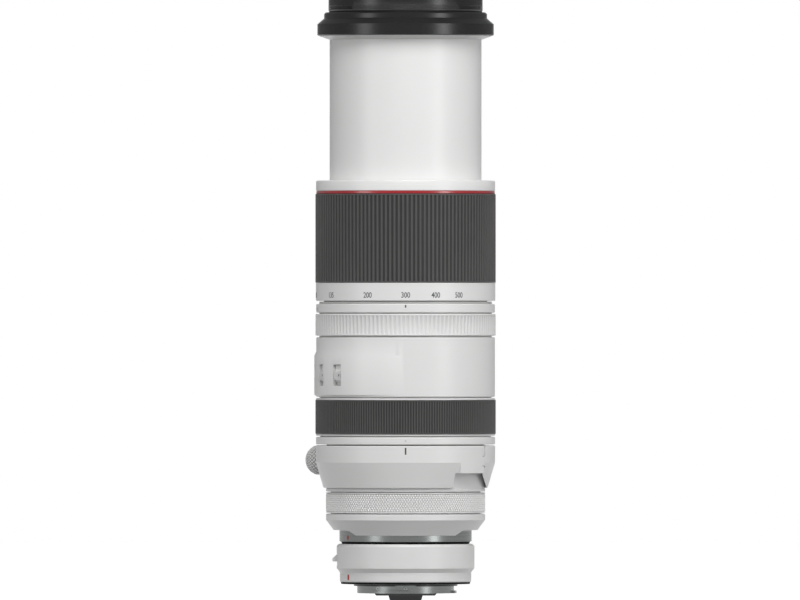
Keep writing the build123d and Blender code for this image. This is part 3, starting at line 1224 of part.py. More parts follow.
base = base - rod(KNUCKLE_R + RUN_GAP, hinge, knuckle_high - KNUCKLE_GAP / 2, high)
base = base - rod(PIN_R + SEAT_GAP, hinge, low, high)
STUD_REACH = 1.8
stud_floor = CLAMP_X + CLAMP_GAP + STUD_REACH + RUN_GAP
base = base - side_rod(STUD_R + PIN_GAP, CLAMP_X - 1, stud_floor, KNOB_Y, Z_KNOB)
stud_width = (Z_KNOB - STUD_R - PIN_GAP, Z_KNOB + STUD_R + PIN_GAP)
stud_path = block((CLAMP_X - 1, stud_floor), (KNOB_Y - STUD_R - 2.0, KNOB_Y), stud_width)
base = base - (stud_path - swing_inside)

# Foot, bolted to the fixed half
FOOT_X = 14.5
FOOT_FACE = BASE_Y + 21.0
FOOT_PLATE = 8.5
FOOT_BACK = 12.0          # reach of the foot behind the collar
FOOT_FORWARD = 32.0       # and in front of it
FOOT_SCREW_R = 2.0
FOOT_HEAD_R = 3.6
FOOT_HEAD_H = 2.4
FOOT_SCREW_L = 9.0
THREAD_R = 3.175
THREAD_DEPTH = 7.0
foot_top = BASE_Y + SEAT_GAP
z_foot_low = Z_COLLAR - FOOT_BACK
z_foot_high = Z_COLLAR_TOP + FOOT_FORWARD
foot_screw_xs = (-9.5, 9.5)
z_foot_screw = Z_COLLAR + 7.0
z_thread = Z_COLLAR_TOP + 6.0
foot_side = Plane(origin=(-FOOT_X, 0, 0), x_dir=(0, 1, 0), z_dir=(1, 0, 0))
foot_profile = make_face(Polyline(
    (foot_top, Z_COLLAR + 0.6),
    (foot_top, Z_COLLAR_TOP - 0.6),
    (foot_top + 5.0, Z_COLLAR_TOP + 1.5),
    (FOOT_FACE - FOOT_PLATE, Z_COLLAR_TOP + 9.0),
    (FOOT_FACE - FOOT_PLATE, z_foot_high - 3.0),
    (FOOT_FACE - FOOT_PLATE + 3.0, z_foot_high),
    (FOOT_FACE - 1.0, z_foot_high),
    (FOOT_FACE, z_foot_high - 1.0),
    (FOOT_FACE, z_foot_low + 1.0),
    (FOOT_FACE - 1.0, z_foot_low),
    (FOOT_FACE - FOOT_PLATE + 3.0, z_foot_low),
    (FOOT_FACE - FOOT_PLATE, z_foot_low + 3.0),
    (foot_top + 3.0, Z_COLLAR - 1.0),
    close=True,
))
foot = extrude(foot_side * foot_profile, 2 * FOOT_X)
foot = chamfer(foot.edges().filter_by(Plane.XY, reverse=True).filter_by(GeomType.LINE).filter_by(
    lambda edge: abs(edge.center().X) > FOOT_X - 0.1 and edge.center().Y > FOOT_FACE - FOOT_PLATE + 1), 0.8)
foot = foot - cross_rod(THREAD_R, FOOT_FACE - THREAD_DEPTH, FOOT_FACE + 1, 0, z_thread)
head_seat = foot_top + 4.0
screw_gap = SEAT_GAP
for x in foot_screw_xs:
    foot = foot - cross_rod(FOOT_SCREW_R + screw_gap, foot_top - 1, head_seat + 1, x, z_foot_screw)
    foot = foot - cross_rod(FOOT_HEAD_R + screw_gap, head_seat, FOOT_FACE + 1, x, z_foot_screw)
    base = base - cross_rod(FOOT_SCREW_R + screw_gap, head_seat - FOOT_SCREW_L - screw_gap, BASE_Y + 1,
                            x, z_foot_screw)
save("collar_base", base)
save("tripod_foot", foot)
save("foot_screws", [
    cross_rod(FOOT_SCREW_R, head_seat - FOOT_SCREW_L, head_seat + 0.1, x, z_foot_screw)
    + (cross_rod(FOOT_HEAD_R, head_seat + screw_gap, head_seat + FOOT_HEAD_H, x, z_foot_screw)
       - cross_rod(1.6, head_seat + 0.9, head_seat + FOOT_HEAD_H + 1, x, z_foot_screw))
    for x in foot_screw_xs
])
save("hinge_pin", rod(PIN_R, hinge, pin_low, pin_high))

# Clamp knob with its stud, and the washer under it
WASHER_H = 1.0
WASHER_R = 5.2
KNOB_R = 7.7
KNOB_END = -52.3
DOME_H = 5.8
HUB_R = 5.0
washer_x = EAR_X - PIN_GAP
knob_x = washer_x - WASHER_H - PIN_GAP
knob_face = Plane(origin=(0, KNOB_Y, Z_KNOB), x_dir=(-1, 0, 0), z_dir=(0, 1, 0))
save("clamp_washer", side_rod(WASHER_R, washer_x - WASHER_H, washer_x, KNOB_Y, Z_KNOB)
     - side_rod(STUD_R + PIN_GAP, washer_x - WASHER_H - 1, washer_x + 1, KNOB_Y, Z_KNOB))
dome_start = -KNOB_END - DOME_H
dome_r = (KNOB_R ** 2 + DOME_H ** 2) / (2 * DOME_H)
dome_centre = -KNOB_END - dome_r
dome_half = asin(KNOB_R / dome_r) / 2
knob_low = -knob_x
stud_end = -(CLAMP_X + CLAMP_GAP + STUD_REACH)
edges = [
    Line((stud_end, 0), (stud_end, STUD_R - 0.4)),
    Line((stud_end, STUD_R - 0.4), (stud_end + 0.4, STUD_R)),
    Line((stud_end + 0.4, STUD_R), (knob_low, STUD_R)),
    Line((knob_low, STUD_R), (knob_low, HUB_R)),
    Line((knob_low, HUB_R), (knob_low + 0.8, HUB_R)),
    Line((knob_low + 0.8, HUB_R), (knob_low + 1.4, KNOB_R)),
    Line((knob_low + 1.4, KNOB_R), (dome_start, KNOB_R)),
    ThreePointArc((dome_start, KNOB_R), (dome_centre + dome_r * cos(dome_half), dome_r * sin(dome_half)),
                  (-KNOB_END, 0)),
    Line((-KNOB_END, 0), (stud_end, 0)),
]
knob = revolve(knob_face * make_face(edges), Axis(origin=(0, KNOB_Y, Z_KNOB), direction=(1, 0, 0)))
save("lock_knob", knob)
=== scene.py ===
"""Telephoto zoom lens with a tele converter: finishes, small parts, floor, lamps and camera.

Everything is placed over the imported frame, in metres. Sizes below are in millimetres and an azimuth
counts from the index side (-Y) towards +X.
"""
import json
from math import asin, ceil, cos, floor, pi, radians, sin, sqrt

import bpy
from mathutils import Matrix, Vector


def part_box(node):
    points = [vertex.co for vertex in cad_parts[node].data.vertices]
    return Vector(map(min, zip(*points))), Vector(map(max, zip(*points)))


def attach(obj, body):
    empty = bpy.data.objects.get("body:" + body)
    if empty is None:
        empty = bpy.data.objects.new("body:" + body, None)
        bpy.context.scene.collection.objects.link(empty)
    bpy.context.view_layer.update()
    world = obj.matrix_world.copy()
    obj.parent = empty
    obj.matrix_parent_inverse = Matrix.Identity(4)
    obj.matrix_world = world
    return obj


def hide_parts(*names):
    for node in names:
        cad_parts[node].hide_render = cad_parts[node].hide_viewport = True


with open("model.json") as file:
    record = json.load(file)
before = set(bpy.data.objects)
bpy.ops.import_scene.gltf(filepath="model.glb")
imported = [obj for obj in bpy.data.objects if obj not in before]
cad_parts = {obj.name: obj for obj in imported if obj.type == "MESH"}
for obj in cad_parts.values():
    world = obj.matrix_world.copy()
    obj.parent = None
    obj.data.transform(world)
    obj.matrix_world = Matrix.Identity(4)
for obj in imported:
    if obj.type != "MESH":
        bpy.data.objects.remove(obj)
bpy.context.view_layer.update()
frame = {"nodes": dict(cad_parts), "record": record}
NODES = frame["nodes"]

bl_info = {
    "name": "Zoom Lens Parts",
    "version": (1, 0, 0),
    "blender": (4, 5, 0),
    "location": "3D View > Sidebar > Lens",
    "description": "Builds the finishes and small parts of a telephoto zoom lens over its CAD frame",
    "category": "Object",
}

MM = 0.001
SLOT_OF = {item["node"]: item["material_slot"] for item in frame["record"]["subparts"]}
# Nodes whose shallow chamfers stay sharp from a smaller angle
CRISP_NODES = ("collar_gate", "collar_base", "rear_housing", "rear_barrel", "converter_housing")
CRISP_ANGLE = radians(12)
GASKETS = ("mount_gasket", "converter_gasket")
# Azimuths of the dial numbers, of the switches and of the bayonet's screws
DIAL = (("100", -84.0), ("135", -56.0), ("200", -25.0), ("300", 0.0), ("400", 19.6), ("500", 36.3))
SWITCHES = (
    ("focus_limit_switch", -49.0), ("focus_mode_switch", -68.0), ("stabiliser_switch", -88.0),
    ("stabiliser_mode_switch", -107.0),
)
MOUNT_SCREWS = (0, -35, 72, 150, 215)
# Name, azimuth, distance, height, size and power of each lamp, in metres and watts
LAMPS = (
    ("key", 50, 0.95, 0.17, (0.24, 0.85), 2.9),
    ("left_fill", -54, 1.05, 0.17, (0.32, 0.85), 2.2),
    ("top_fill", 8, 0.72, 0.95, (0.8, 0.6), 7.5),
)
# One rib and one flute, as (share of the pitch, share of the depth above the root)
RIB_WAVE = (
    (0.0, 0.0), (0.09, 0.0), (0.15, 0.14), (0.20, 0.80), (0.24, 0.96), (0.30, 1.0), (0.54, 1.0),
    (0.60, 0.96), (0.64, 0.80), (0.69, 0.14), (0.75, 0.0), (1.0, 0.0),
)
FLUTE_WAVE = (
    (0.0, 1.0), (0.10, 0.90), (0.25, 0.40), (0.38, 0.10), (0.5, 0.0), (0.62, 0.10), (0.75, 0.40),
    (0.90, 0.90), (1.0, 1.0),
)
# Colour sockets of a Mix node, whose names are shared with its other types
MIX_A, MIX_B, MIX_RESULT = 6, 7, 2


def low(node, axis=2):
    """Lowest coordinate of a CAD node, in millimetres."""
    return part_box(node)[0][axis] / MM


def high(node, axis=2):
    """Highest coordinate of a CAD node, in millimetres."""
    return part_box(node)[1][axis] / MM


# Shader groups
def new_group(name, inputs, outputs):
    """Empty shader group with its sockets; returns the tree, its input node and its output node."""
    tree = bpy.data.node_groups.new(name, "ShaderNodeTree")
    for label, kind, value in inputs:
        item = tree.interface.new_socket(name=label, in_out="INPUT", socket_type=kind)
        item.default_value = value
    for label, kind in outputs:
        tree.interface.new_socket(name=label, in_out="OUTPUT", socket_type=kind)
    entry = tree.nodes.new("NodeGroupInput")
    leave = tree.nodes.new("NodeGroupOutput")
    return tree, entry, leave


def math_node(tree, operation, first, second=None):
    """Math node; each operand is a socket or a number."""
    node = tree.nodes.new("ShaderNodeMath")
    node.operation = operation
    for socket, value in zip(node.inputs, (first, second)):
        if isinstance(value, (int, float)):
            socket.default_value = value
        elif value is not None:
            tree.links.new(value, socket)
    return node.outputs[0]


def add_relief(tree, noise, size, depth, leave):
    """Gives out a noise as a bump and as a shade; size and depth are sockets, in millimetres."""
    bump = tree.nodes.new("ShaderNodeBump")
    tree.links.new(math_node(tree, "DIVIDE", 1 / MM, size), noise.inputs["Scale"])
    tree.links.new(math_node(tree, "MULTIPLY", depth, MM), bump.inputs["Distance"])
    tree.links.new(noise.outputs[0], bump.inputs["Height"])
    tree.links.new(bump.outputs["Normal"], leave.inputs["Normal"])
    tree.links.new(noise.outputs[0], leave.inputs["Shade"])


def darken(tree, colour, share):
    """Mixes a colour socket towards black by the share of another; returns the colour socket."""
    mix = tree.nodes.new("ShaderNodeMix")
    mix.data_type = "RGBA"
    mix.inputs[MIX_B].default_value = (0, 0, 0, 1)
    tree.links.new(share, mix.inputs["Factor"])
    tree.links.new(colour, mix.inputs[MIX_A])
    return mix.outputs[MIX_RESULT]


def grain_group():
    """Fine even grain of paint, moulded plastic and rubber."""
    tree, entry, leave = new_group(
        "Fine Grain",
        (("Grain Size", "NodeSocketFloat", 0.25), ("Depth", "NodeSocketFloat", 0.006)),
        (("Normal", "NodeSocketVector"), ("Shade", "NodeSocketFloat")),
    )
    place = tree.nodes.new("ShaderNodeTexCoord")
    noise = tree.nodes.new("ShaderNodeTexNoise")
    noise.inputs["Detail"].default_value = 3.0
    noise.inputs["Roughness"].default_value = 0.6
    tree.links.new(place.outputs["Object"], noise.inputs["Vector"])
    add_relief(tree, noise, entry.outputs["Grain Size"], entry.outputs["Depth"], leave)
    return tree


def tone_group():
    """Slow drift of a colour over the surface, from handling and from uneven batches."""
    tree, entry, leave = new_group(
        "Tone Drift",
        (
            ("Colour", "NodeSocketColor", (0.8, 0.8, 0.8, 1.0)),
            ("Cloud Size", "NodeSocketFloat", 30.0),
            ("Spread", "NodeSocketFloat", 0.05),
        ),
        (("Colour", "NodeSocketColor"),),
    )
    place = tree.nodes.new("ShaderNodeTexCoord")
    noise = tree.nodes.new("ShaderNodeTexNoise")
    noise.inputs["Detail"].default_value = 4.0
    mix = tree.nodes.new("ShaderNodeMix")
    mix.data_type = "RGBA"
    mix.blend_type = "MULTIPLY"
    mix.inputs["Factor"].default_value = 1.0
    drift = math_node(tree, "SUBTRACT", noise.outputs[0], 0.5)
    drift = math_node(tree, "MULTIPLY", drift, entry.outputs["Spread"])
    drift = math_node(tree, "ADD", drift, 1.0)
    tree.links.new(place.outputs["Object"], noise.inputs["Vector"])
    tree.links.new(math_node(tree, "DIVIDE", 1 / MM, entry.outputs["Cloud Size"]), noise.inputs["Scale"])
    tree.links.new(entry.outputs["Colour"], mix.inputs[MIX_A])
    tree.links.new(drift, mix.inputs[MIX_B])
    tree.links.new(mix.outputs[MIX_RESULT], leave.inputs["Colour"])
    return tree


def turned_group():
    """Fine lines left by the lathe: they follow the radius on a face and the height on a wall."""
    tree, entry, leave = new_group(
        "Turned Lines",
        (("Line Pitch", "NodeSocketFloat", 0.12), ("Depth", "NodeSocketFloat", 0.004)),
        (("Normal", "NodeSocketVector"), ("Shade", "NodeSocketFloat")),
    )
    face_from = 0.6
    place = tree.nodes.new("ShaderNodeTexCoord")
    parts = tree.nodes.new("ShaderNodeSeparateXYZ")
    tree.links.new(place.outputs["Object"], parts.inputs[0])
    square = math_node(tree, "MULTIPLY", parts.outputs[0], parts.outputs[0])
    square = math_node(tree, "ADD", square, math_node(tree, "MULTIPLY", parts.outputs[1], parts.outputs[1]))
    radius = math_node(tree, "SQRT", square)
    facing = tree.nodes.new("ShaderNodeSeparateXYZ")
    tree.links.new(place.outputs["Normal"], facing.inputs[0])
    level = math_node(tree, "GREATER_THAN", math_node(tree, "ABSOLUTE", facing.outputs[2]), face_from)
    along = tree.nodes.new("ShaderNodeMix")
    tree.links.new(level, along.inputs["Factor"])
    tree.links.new(parts.outputs[2], along.inputs["A"])
    tree.links.new(radius, along.inputs["B"])
    noise = tree.nodes.new("ShaderNodeTexNoise")
    noise.noise_dimensions = "1D"
    noise.inputs["Detail"].default_value = 2.0
    tree.links.new(along.outputs["Result"], noise.inputs["W"])
    add_relief(tree, noise, entry.outputs["Line Pitch"], entry.outputs["Depth"], leave)
    return tree


def painted_groove_shade_group():
    """Painted shade: darker colour towards the bottom of ribs, flutes and knurling that run round the
    optical axis.
    """
    tree, entry, leave = new_group(
        "Groove Shade",
        (
            ("Colour", "NodeSocketColor", (0.8, 0.8, 0.8, 1.0)),
            ("Root Radius", "NodeSocketFloat", 46.0),
            ("Crest Radius", "NodeSocketFloat", 46.5),
            ("Darkness", "NodeSocketFloat", 0.5),
        ),
        (("Colour", "NodeSocketColor"),),
    )
    place = tree.nodes.new("ShaderNodeTexCoord")
    flat = tree.nodes.new("ShaderNodeVectorMath")
    flat.operation = "MULTIPLY"
    flat.inputs[1].default_value = (1 / MM, 1 / MM, 0)
    size = tree.nodes.new("ShaderNodeVectorMath")
    size.operation = "LENGTH"
    rise = tree.nodes.new("ShaderNodeMapRange")
    rise.inputs["To Min"].default_value = 1.0
    rise.inputs["To Max"].default_value = 0.0
    tree.links.new(place.outputs["Object"], flat.inputs[0])
    tree.links.new(flat.outputs[0], size.inputs[0])
    tree.links.new(size.outputs["Value"], rise.inputs["Value"])
    tree.links.new(entry.outputs["Root Radius"], rise.inputs["From Min"])
    tree.links.new(entry.outputs["Crest Radius"], rise.inputs["From Max"])
    share = math_node(tree, "MULTIPLY", rise.outputs[0], entry.outputs["Darkness"])
    tree.links.new(darken(tree, entry.outputs["Colour"], share), leave.inputs["Colour"])
    return tree


def add_group(material, tree, **values):
    """Group node inside a material, with its inputs set by name."""
    node = material.node_tree.nodes.new("ShaderNodeGroup")
    node.node_tree = tree
    for label, value in values.items():
        node.inputs[label.replace("_", " ")].default_value = value
    return node


GROUPS = {}
FINISH = {}


def add_finish(name, colour, roughness, grain=None, tone=None, lines=None, groove=None, shade=None,
               rough_spread=0.0, **shader_values):
    """Material with one Principled shader, fed by the shared groups and kept in FINISH by its name.

    grain and lines are (size, depth), tone is (cloud size, spread); groove is (root radius, crest radius,
    darkness) and shade is (attribute of the mesh, darkness), both painted shade that darkens the colour.
    """
    material = bpy.data.materials.new(name)
    material.use_nodes = True
    tree = material.node_tree
    shader = tree.nodes["Principled BSDF"]
    shader.inputs["Base Color"].default_value = (*colour, 1.0)
    shader.inputs["Roughness"].default_value = roughness
    for label, value in shader_values.items():
        shader.inputs[label.replace("_", " ")].default_value = value
    if tone:
        node = add_group(material, GROUPS["tone"], Cloud_Size=tone[0], Spread=tone[1])
        node.inputs["Colour"].default_value = (*colour, 1.0)
        tree.links.new(node.outputs["Colour"], shader.inputs["Base Color"])
        # Painted shade: darkens the colour towards the roots of grooves round the axis
        if groove:
            root, crest, darkness = groove
            groove_shade_node = add_group(
                material, GROUPS["groove"], Root_Radius=root, Crest_Radius=crest, Darkness=darkness)
            tree.links.new(node.outputs["Colour"], groove_shade_node.inputs["Colour"])
            tree.links.new(groove_shade_node.outputs["Colour"], shader.inputs["Base Color"])
        # Painted shade: darkens the colour where the mesh's attribute marks a groove
        if shade:
            attribute, darkness = shade
            mark = tree.nodes.new("ShaderNodeAttribute")
            mark.attribute_name = attribute
            share = math_node(tree, "MULTIPLY", mark.outputs["Fac"], darkness)
            tree.links.new(darken(tree, node.outputs["Colour"], share), shader.inputs["Base Color"])
    detail = None
    if grain:
        detail = add_group(material, GROUPS["grain"], Grain_Size=grain[0], Depth=grain[1])
    if lines:
        detail = add_group(material, GROUPS["turned"], Line_Pitch=lines[0], Depth=lines[1])
    if detail:
        tree.links.new(detail.outputs["Normal"], shader.inputs["Normal"])
        if rough_spread:
            varied = math_node(tree, "SUBTRACT", detail.outputs["Shade"], 0.5)
            varied = math_node(tree, "MULTIPLY", varied, rough_spread)
            varied = math_node(tree, "ADD", varied, roughness)
            tree.links.new(varied, shader.inputs["Roughness"])
    FINISH[name] = material


def make_finishes():
    """All materials, keyed by the record's slots and by a few names of their own."""
    GROUPS["grain"] = grain_group()
    GROUPS["tone"] = tone_group()
    GROUPS["turned"] = turned_group()
    GROUPS["groove"] = painted_groove_shade_group()
    settings = bpy.context.scene.lens_parts
    grip_r = high("zoom_grip", 0)
    flute_r = high("tension_ring", 0)
    knurl_r = high("control_ring", 0)
    white = (0.80, 0.80, 0.795)
    paint = {
        "grain": (0.16, 0.0035), "tone": (34.0, 0.035), "rough_spread": 0.12, "Coat_Weight": 0.12,
        "Coat_Roughness": 0.25,
    }
    ink_grain = (0.2, 0.002)
    add_finish("white_paint", white, 0.40, **paint)
    # Painted shade at the bottom of the tension ring's flutes
    add_finish(
        "white_flutes", white, 0.40, groove=(flute_r - settings.flute_depth / MM, flute_r, 0.14), **paint)
    # Painted shade in the knurl's grooves; its white is lighter than white_paint's, painted light on the
    # knurled band
    add_finish(
        "white_knurl", (0.90, 0.90, 0.895), 0.36,
        groove=(knurl_r - settings.knurl_depth / MM, knurl_r - 0.22, 0.34), **paint)
    # The knob's white is lighter than white_paint's, painted light on the dimly lit knob; the groove
    # attribute paints shade into its knurl
    add_finish("white_knob", (0.88, 0.88, 0.875), 0.40, shade=("groove", 0.6), **paint)
    add_finish(
        "pale_grey_trim", (0.66, 0.66, 0.65), 0.34, grain=(0.14, 0.003), tone=(30.0, 0.04),
        rough_spread=0.1)
    add_finish(
        "black_plastic", (0.014, 0.014, 0.015), 0.29, grain=(0.22, 0.004), tone=(18.0, 0.25),
        rough_spread=0.14)
    add_finish(
        "black_anodised", (0.017, 0.017, 0.018), 0.48, lines=(0.16, 0.004), rough_spread=0.12,
        Metallic=0.35)
    add_finish(
        "gasket_rubber", (0.003, 0.003, 0.003), 0.7, grain=(0.2, 0.003), tone=(10.0, 0.2),
        Specular_IOR_Level=0.15)
    # Painted shade in the valleys between the rubber ribs
    add_finish(
        "grip_rubber", (0.068, 0.067, 0.066), 0.60, grain=(0.13, 0.012), tone=(9.0, 0.22),
        groove=(grip_r - settings.rib_depth / MM, grip_r - 0.05, 0.72), rough_spread=0.14,
        Sheen_Weight=0.1, Sheen_Roughness=0.5)
    add_finish(
        "satin_steel", (0.26, 0.275, 0.27), 0.28, lines=(0.12, 0.0012), rough_spread=0.08, Metallic=1.0)
    add_finish(
        "bare_aluminium", (0.62, 0.63, 0.64), 0.34, lines=(0.15, 0.004), rough_spread=0.16, Metallic=1.0)
    add_finish(
        "roller_brass", (0.66, 0.50, 0.22), 0.30, grain=(0.2, 0.003), tone=(3.0, 0.15), Metallic=1.0)
    add_finish(
        "screw_steel", (0.46, 0.46, 0.46), 0.32, grain=(0.12, 0.004), tone=(2.0, 0.2), Metallic=1.0)
    add_finish(
        "red_trim", (0.40, 0.022, 0.028), 0.30, grain=(0.18, 0.002), tone=(12.0, 0.12), rough_spread=0.1,
        Coat_Weight=1.0, Coat_Roughness=0.16)
    add_finish("circuit_board", (0.02, 0.15, 0.07), 0.4, grain=(0.4, 0.01), tone=(2.5, 0.5))
    add_finish(
        "lens_glass", (0.93, 0.97, 0.95), 0.01, Transmission_Weight=1.0, IOR=1.52, Specular_IOR_Level=0.3,
        Thin_Film_Thickness=330.0, Thin_Film_IOR=1.38)
    add_finish("print_grey", tuple(settings.print_colour), 0.5, grain=ink_grain, tone=(1.2, 0.12))
    add_finish("print_pale", (0.62, 0.62, 0.61), 0.5, grain=ink_grain, tone=(1.2, 0.06))
    add_finish("print_red", (0.46, 0.022, 0.02), 0.42, grain=ink_grain, tone=(1.2, 0.1))
    add_finish("contact_gold", (0.86, 0.64, 0.28), 0.22, grain=ink_grain, tone=(1.0, 0.08), Metallic=1.0)


# Geometry Nodes trees
def node_tree(name, inputs):
    """Geometry tree with its own inputs after the geometry; returns the tree, its input and its output."""
    tree = bpy.data.node_groups.new(name, "GeometryNodeTree")
    tree.is_modifier = True
    tree.interface.new_socket(name="Geometry", in_out="INPUT", socket_type="NodeSocketGeometry")
    for label, kind, value in inputs:
        item = tree.interface.new_socket(name=label, in_out="INPUT", socket_type=kind)
        if value is not None:
            item.default_value = value
    tree.interface.new_socket(name="Geometry", in_out="OUTPUT", socket_type="NodeSocketGeometry")
    return tree, tree.nodes.new("NodeGroupInput"), tree.nodes.new("NodeGroupOutput")


def add_smoothing(tree, geometry, distance, limit):
    """Welds the mesh and shades it smooth, with sharp edges above an angle; returns the geometry socket."""
    weld = tree.nodes.new("GeometryNodeMergeByDistance")
    angle = tree.nodes.new("GeometryNodeInputMeshEdgeAngle")
    faces = tree.nodes.new("GeometryNodeSetShadeSmooth")
    faces.domain = "FACE"
    edges = tree.nodes.new("GeometryNodeSetShadeSmooth")
    edges.domain = "EDGE"
    tree.links.new(geometry, weld.inputs["Geometry"])
    tree.links.new(distance, weld.inputs["Distance"])
    tree.links.new(weld.outputs[0], faces.inputs["Geometry"])
    tree.links.new(faces.outputs[0], edges.inputs["Geometry"])
    sharp = math_node(tree, "GREATER_THAN", angle.outputs["Unsigned Angle"], limit)
    tree.links.new(sharp, edges.inputs["Selection"])
    edges.inputs["Shade Smooth"].default_value = False
    return edges.outputs[0]


def smooth_tree():
    """Smooth shading for a CAD solid whose shape stays as it is."""
    tree, entry, leave = node_tree(
        "Smooth by Angle",
        (("Weld Distance", "NodeSocketFloat", 0.002 * MM), ("Sharp Angle", "NodeSocketFloat", radians(24))),
    )
    done = add_smoothing(
        tree, entry.outputs["Geometry"], entry.outputs["Weld Distance"], entry.outputs["Sharp Angle"])
    tree.links.new(done, leave.inputs[0])
    return tree


def ring_array_tree():
    """Copies of one strip or stud round the optical axis, in one or more rows."""
    tree, entry, leave = node_tree(
        "Ring Array",
        (
            ("Count", "NodeSocketInt", 100),
            ("Rows", "NodeSocketInt", 1),
            ("Row Pitch", "NodeSocketFloat", 0.0),
            ("Stagger", "NodeSocketFloat", 0.0),
            ("Weld Distance", "NodeSocketFloat", 0.002 * MM),
            ("Sharp Angle", "NodeSocketFloat", radians(50)),
            ("Material", "NodeSocketMaterial", None),
        ),
    )
    count = entry.outputs["Count"]
    index = tree.nodes.new("GeometryNodeInputIndex").outputs[0]
    row = math_node(tree, "FLOOR", math_node(tree, "DIVIDE", index, count))
    column = math_node(tree, "SUBTRACT", index, math_node(tree, "MULTIPLY", row, count))
    odd = math_node(tree, "MODULO", row, 2.0)
    shift = math_node(tree, "MULTIPLY", math_node(tree, "MULTIPLY", odd, 0.5), entry.outputs["Stagger"])
    share = math_node(tree, "DIVIDE", math_node(tree, "ADD", column, shift), count)
    turn = tree.nodes.new("FunctionNodeAxisAngleToRotation")
    turn.inputs["Axis"].default_value = (0, 0, 1)
    tree.links.new(math_node(tree, "MULTIPLY", share, 2 * pi), turn.inputs["Angle"])
    place = tree.nodes.new("ShaderNodeCombineXYZ")
    tree.links.new(math_node(tree, "MULTIPLY", row, entry.outputs["Row Pitch"]), place.inputs[2])
    points = tree.nodes.new("GeometryNodePoints")
    tree.links.new(math_node(tree, "MULTIPLY", count, entry.outputs["Rows"]), points.inputs["Count"])
    tree.links.new(place.outputs[0], points.inputs["Position"])
    copies = tree.nodes.new("GeometryNodeInstanceOnPoints")
    tree.links.new(points.outputs[0], copies.inputs["Points"])
    tree.links.new(entry.outputs["Geometry"], copies.inputs["Instance"])
    tree.links.new(turn.outputs[0], copies.inputs["Rotation"])
    realize = tree.nodes.new("GeometryNodeRealizeInstances")
    tree.links.new(copies.outputs[0], realize.inputs[0])
    done = add_smoothing(
        tree, realize.outputs[0], entry.outputs["Weld Distance"], entry.outputs["Sharp Angle"])
    paint = tree.nodes.new("GeometryNodeSetMaterial")
    tree.links.new(done, paint.inputs["Geometry"])
    tree.links.new(entry.outputs["Material"], paint.inputs["Material"])
    tree.links.new(paint.outputs[0], leave.inputs[0])
    return tree


TREES = {}


def set_inputs(modifier, values):
    """Modifier inputs by socket identifier."""
    for item in modifier.node_group.interface.items_tree:
        if item.item_type == "SOCKET" and item.in_out == "INPUT" and item.name in values:
            modifier[item.identifier] = values[item.name]


# Mesh helpers
def spot(radius, azimuth, height):
    """Point in metres at a radius, an azimuth in degrees and a height."""
    turn = radians(azimuth)
    return Vector((radius * sin(turn), -radius * cos(turn), height)) * MM


def link_piece(name, mesh):
    """Object at the origin that shows a mesh."""
    piece = bpy.data.objects.new(name, mesh)
    bpy.context.scene.collection.objects.link(piece)
    return piece


def make_piece(name, parts, finish, body, sharp=32.0):
    """One closed mesh from (vertices, faces) parts, placed on its body."""
    verts = []
    faces = []
    for part_verts, part_faces in parts:
        base = len(verts)
        verts += [tuple(point) for point in part_verts]
        faces += [tuple(base + i for i in face) for face in part_faces]
    mesh = bpy.data.meshes.new(name)
    mesh.from_pydata(verts, [], faces)
    mesh.validate()
    mesh.shade_smooth()
    mesh.set_sharp_from_angle(angle=radians(sharp))
    mesh.materials.append(FINISH[finish])
    piece = link_piece(name, mesh)
    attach(piece, body)
    return piece


def turned(profile, segments=192):
    """Ring or disc about the optical axis; the profile is a loop of (radius, height), clockwise."""
    count = len(profile)
    verts = []
    faces = []
    for i in range(segments):
        verts += [spot(radius, 360 * i / segments, height) for radius, height in profile]
    for i in range(segments):
        here = i * count
        there = (i + 1) % segments * count
        for j in range(count):
            k = (j + 1) % count
            faces.append((here + j, there + j, there + k, here + k))
    return verts, faces


def patch(radius, azimuths, heights, proud=0.04, sunk=0.04):
    """Thin plate that lies on a cylinder, for print and small marks."""
    start, stop = azimuths
    widest_step = 1.5
    steps = max(1, ceil((stop - start) / widest_step))
    verts = []
    faces = []
    for i in range(steps + 1):
        azimuth = start + (stop - start) * i / steps
        for rho, height in ((radius - sunk, heights[0]), (radius + proud, heights[0]),
                            (radius + proud, heights[1]), (radius - sunk, heights[1])):
            verts.append(spot(rho, azimuth, height))
    for i in range(steps):
        here = 4 * i
        there = here + 4
        for j in range(4):
            k = (j + 1) % 4
            faces.append((here + j, there + j, there + k, here + k))
    faces.append((0, 1, 2, 3))
    last = 4 * steps
    faces.append((last + 3, last + 2, last + 1, last))
    return verts, faces


def line_on(radius, azimuth, width, heights, proud=0.04):
    """Printed line along the axis, of a width in millimetres."""
    half = 90 * width / (pi * radius)
    return patch(radius, (azimuth - half, azimuth + half), heights, proud)


def stud(radius, azimuth, height, size, proud, sides=20):
    """Small round disc on a cylinder, facing outwards, with a bevelled rim."""
    sunk = 0.3
    bevel = 0.12 * size
    flat_r = 0.92 * size
    centre = spot(radius, azimuth, height)
    out = spot(1 / MM, azimuth, 0)
    across = Vector((cos(radians(azimuth)), sin(radians(azimuth)), 0))
    rings = [(size, -sunk), (size, proud - bevel), (flat_r, proud)]
    verts = []
    faces = []
    for rho, rise in rings:
        for i in range(sides):
            turn = 2 * pi * i / sides
            flat = across * cos(turn) + Vector((0, 0, 1)) * sin(turn)
            verts.append(centre + flat * rho * MM + out * rise * MM)
    for level in range(len(rings) - 1):
        for i in range(sides):
            k = (i + 1) % sides
            low_ring = level * sides
            high_ring = low_ring + sides
            faces.append((low_ring + i, low_ring + k, high_ring + k, high_ring + i))
    faces.append(tuple(reversed(range(sides))))
    faces.append(tuple((len(rings) - 1) * sides + i for i in range(sides)))
    return verts, faces


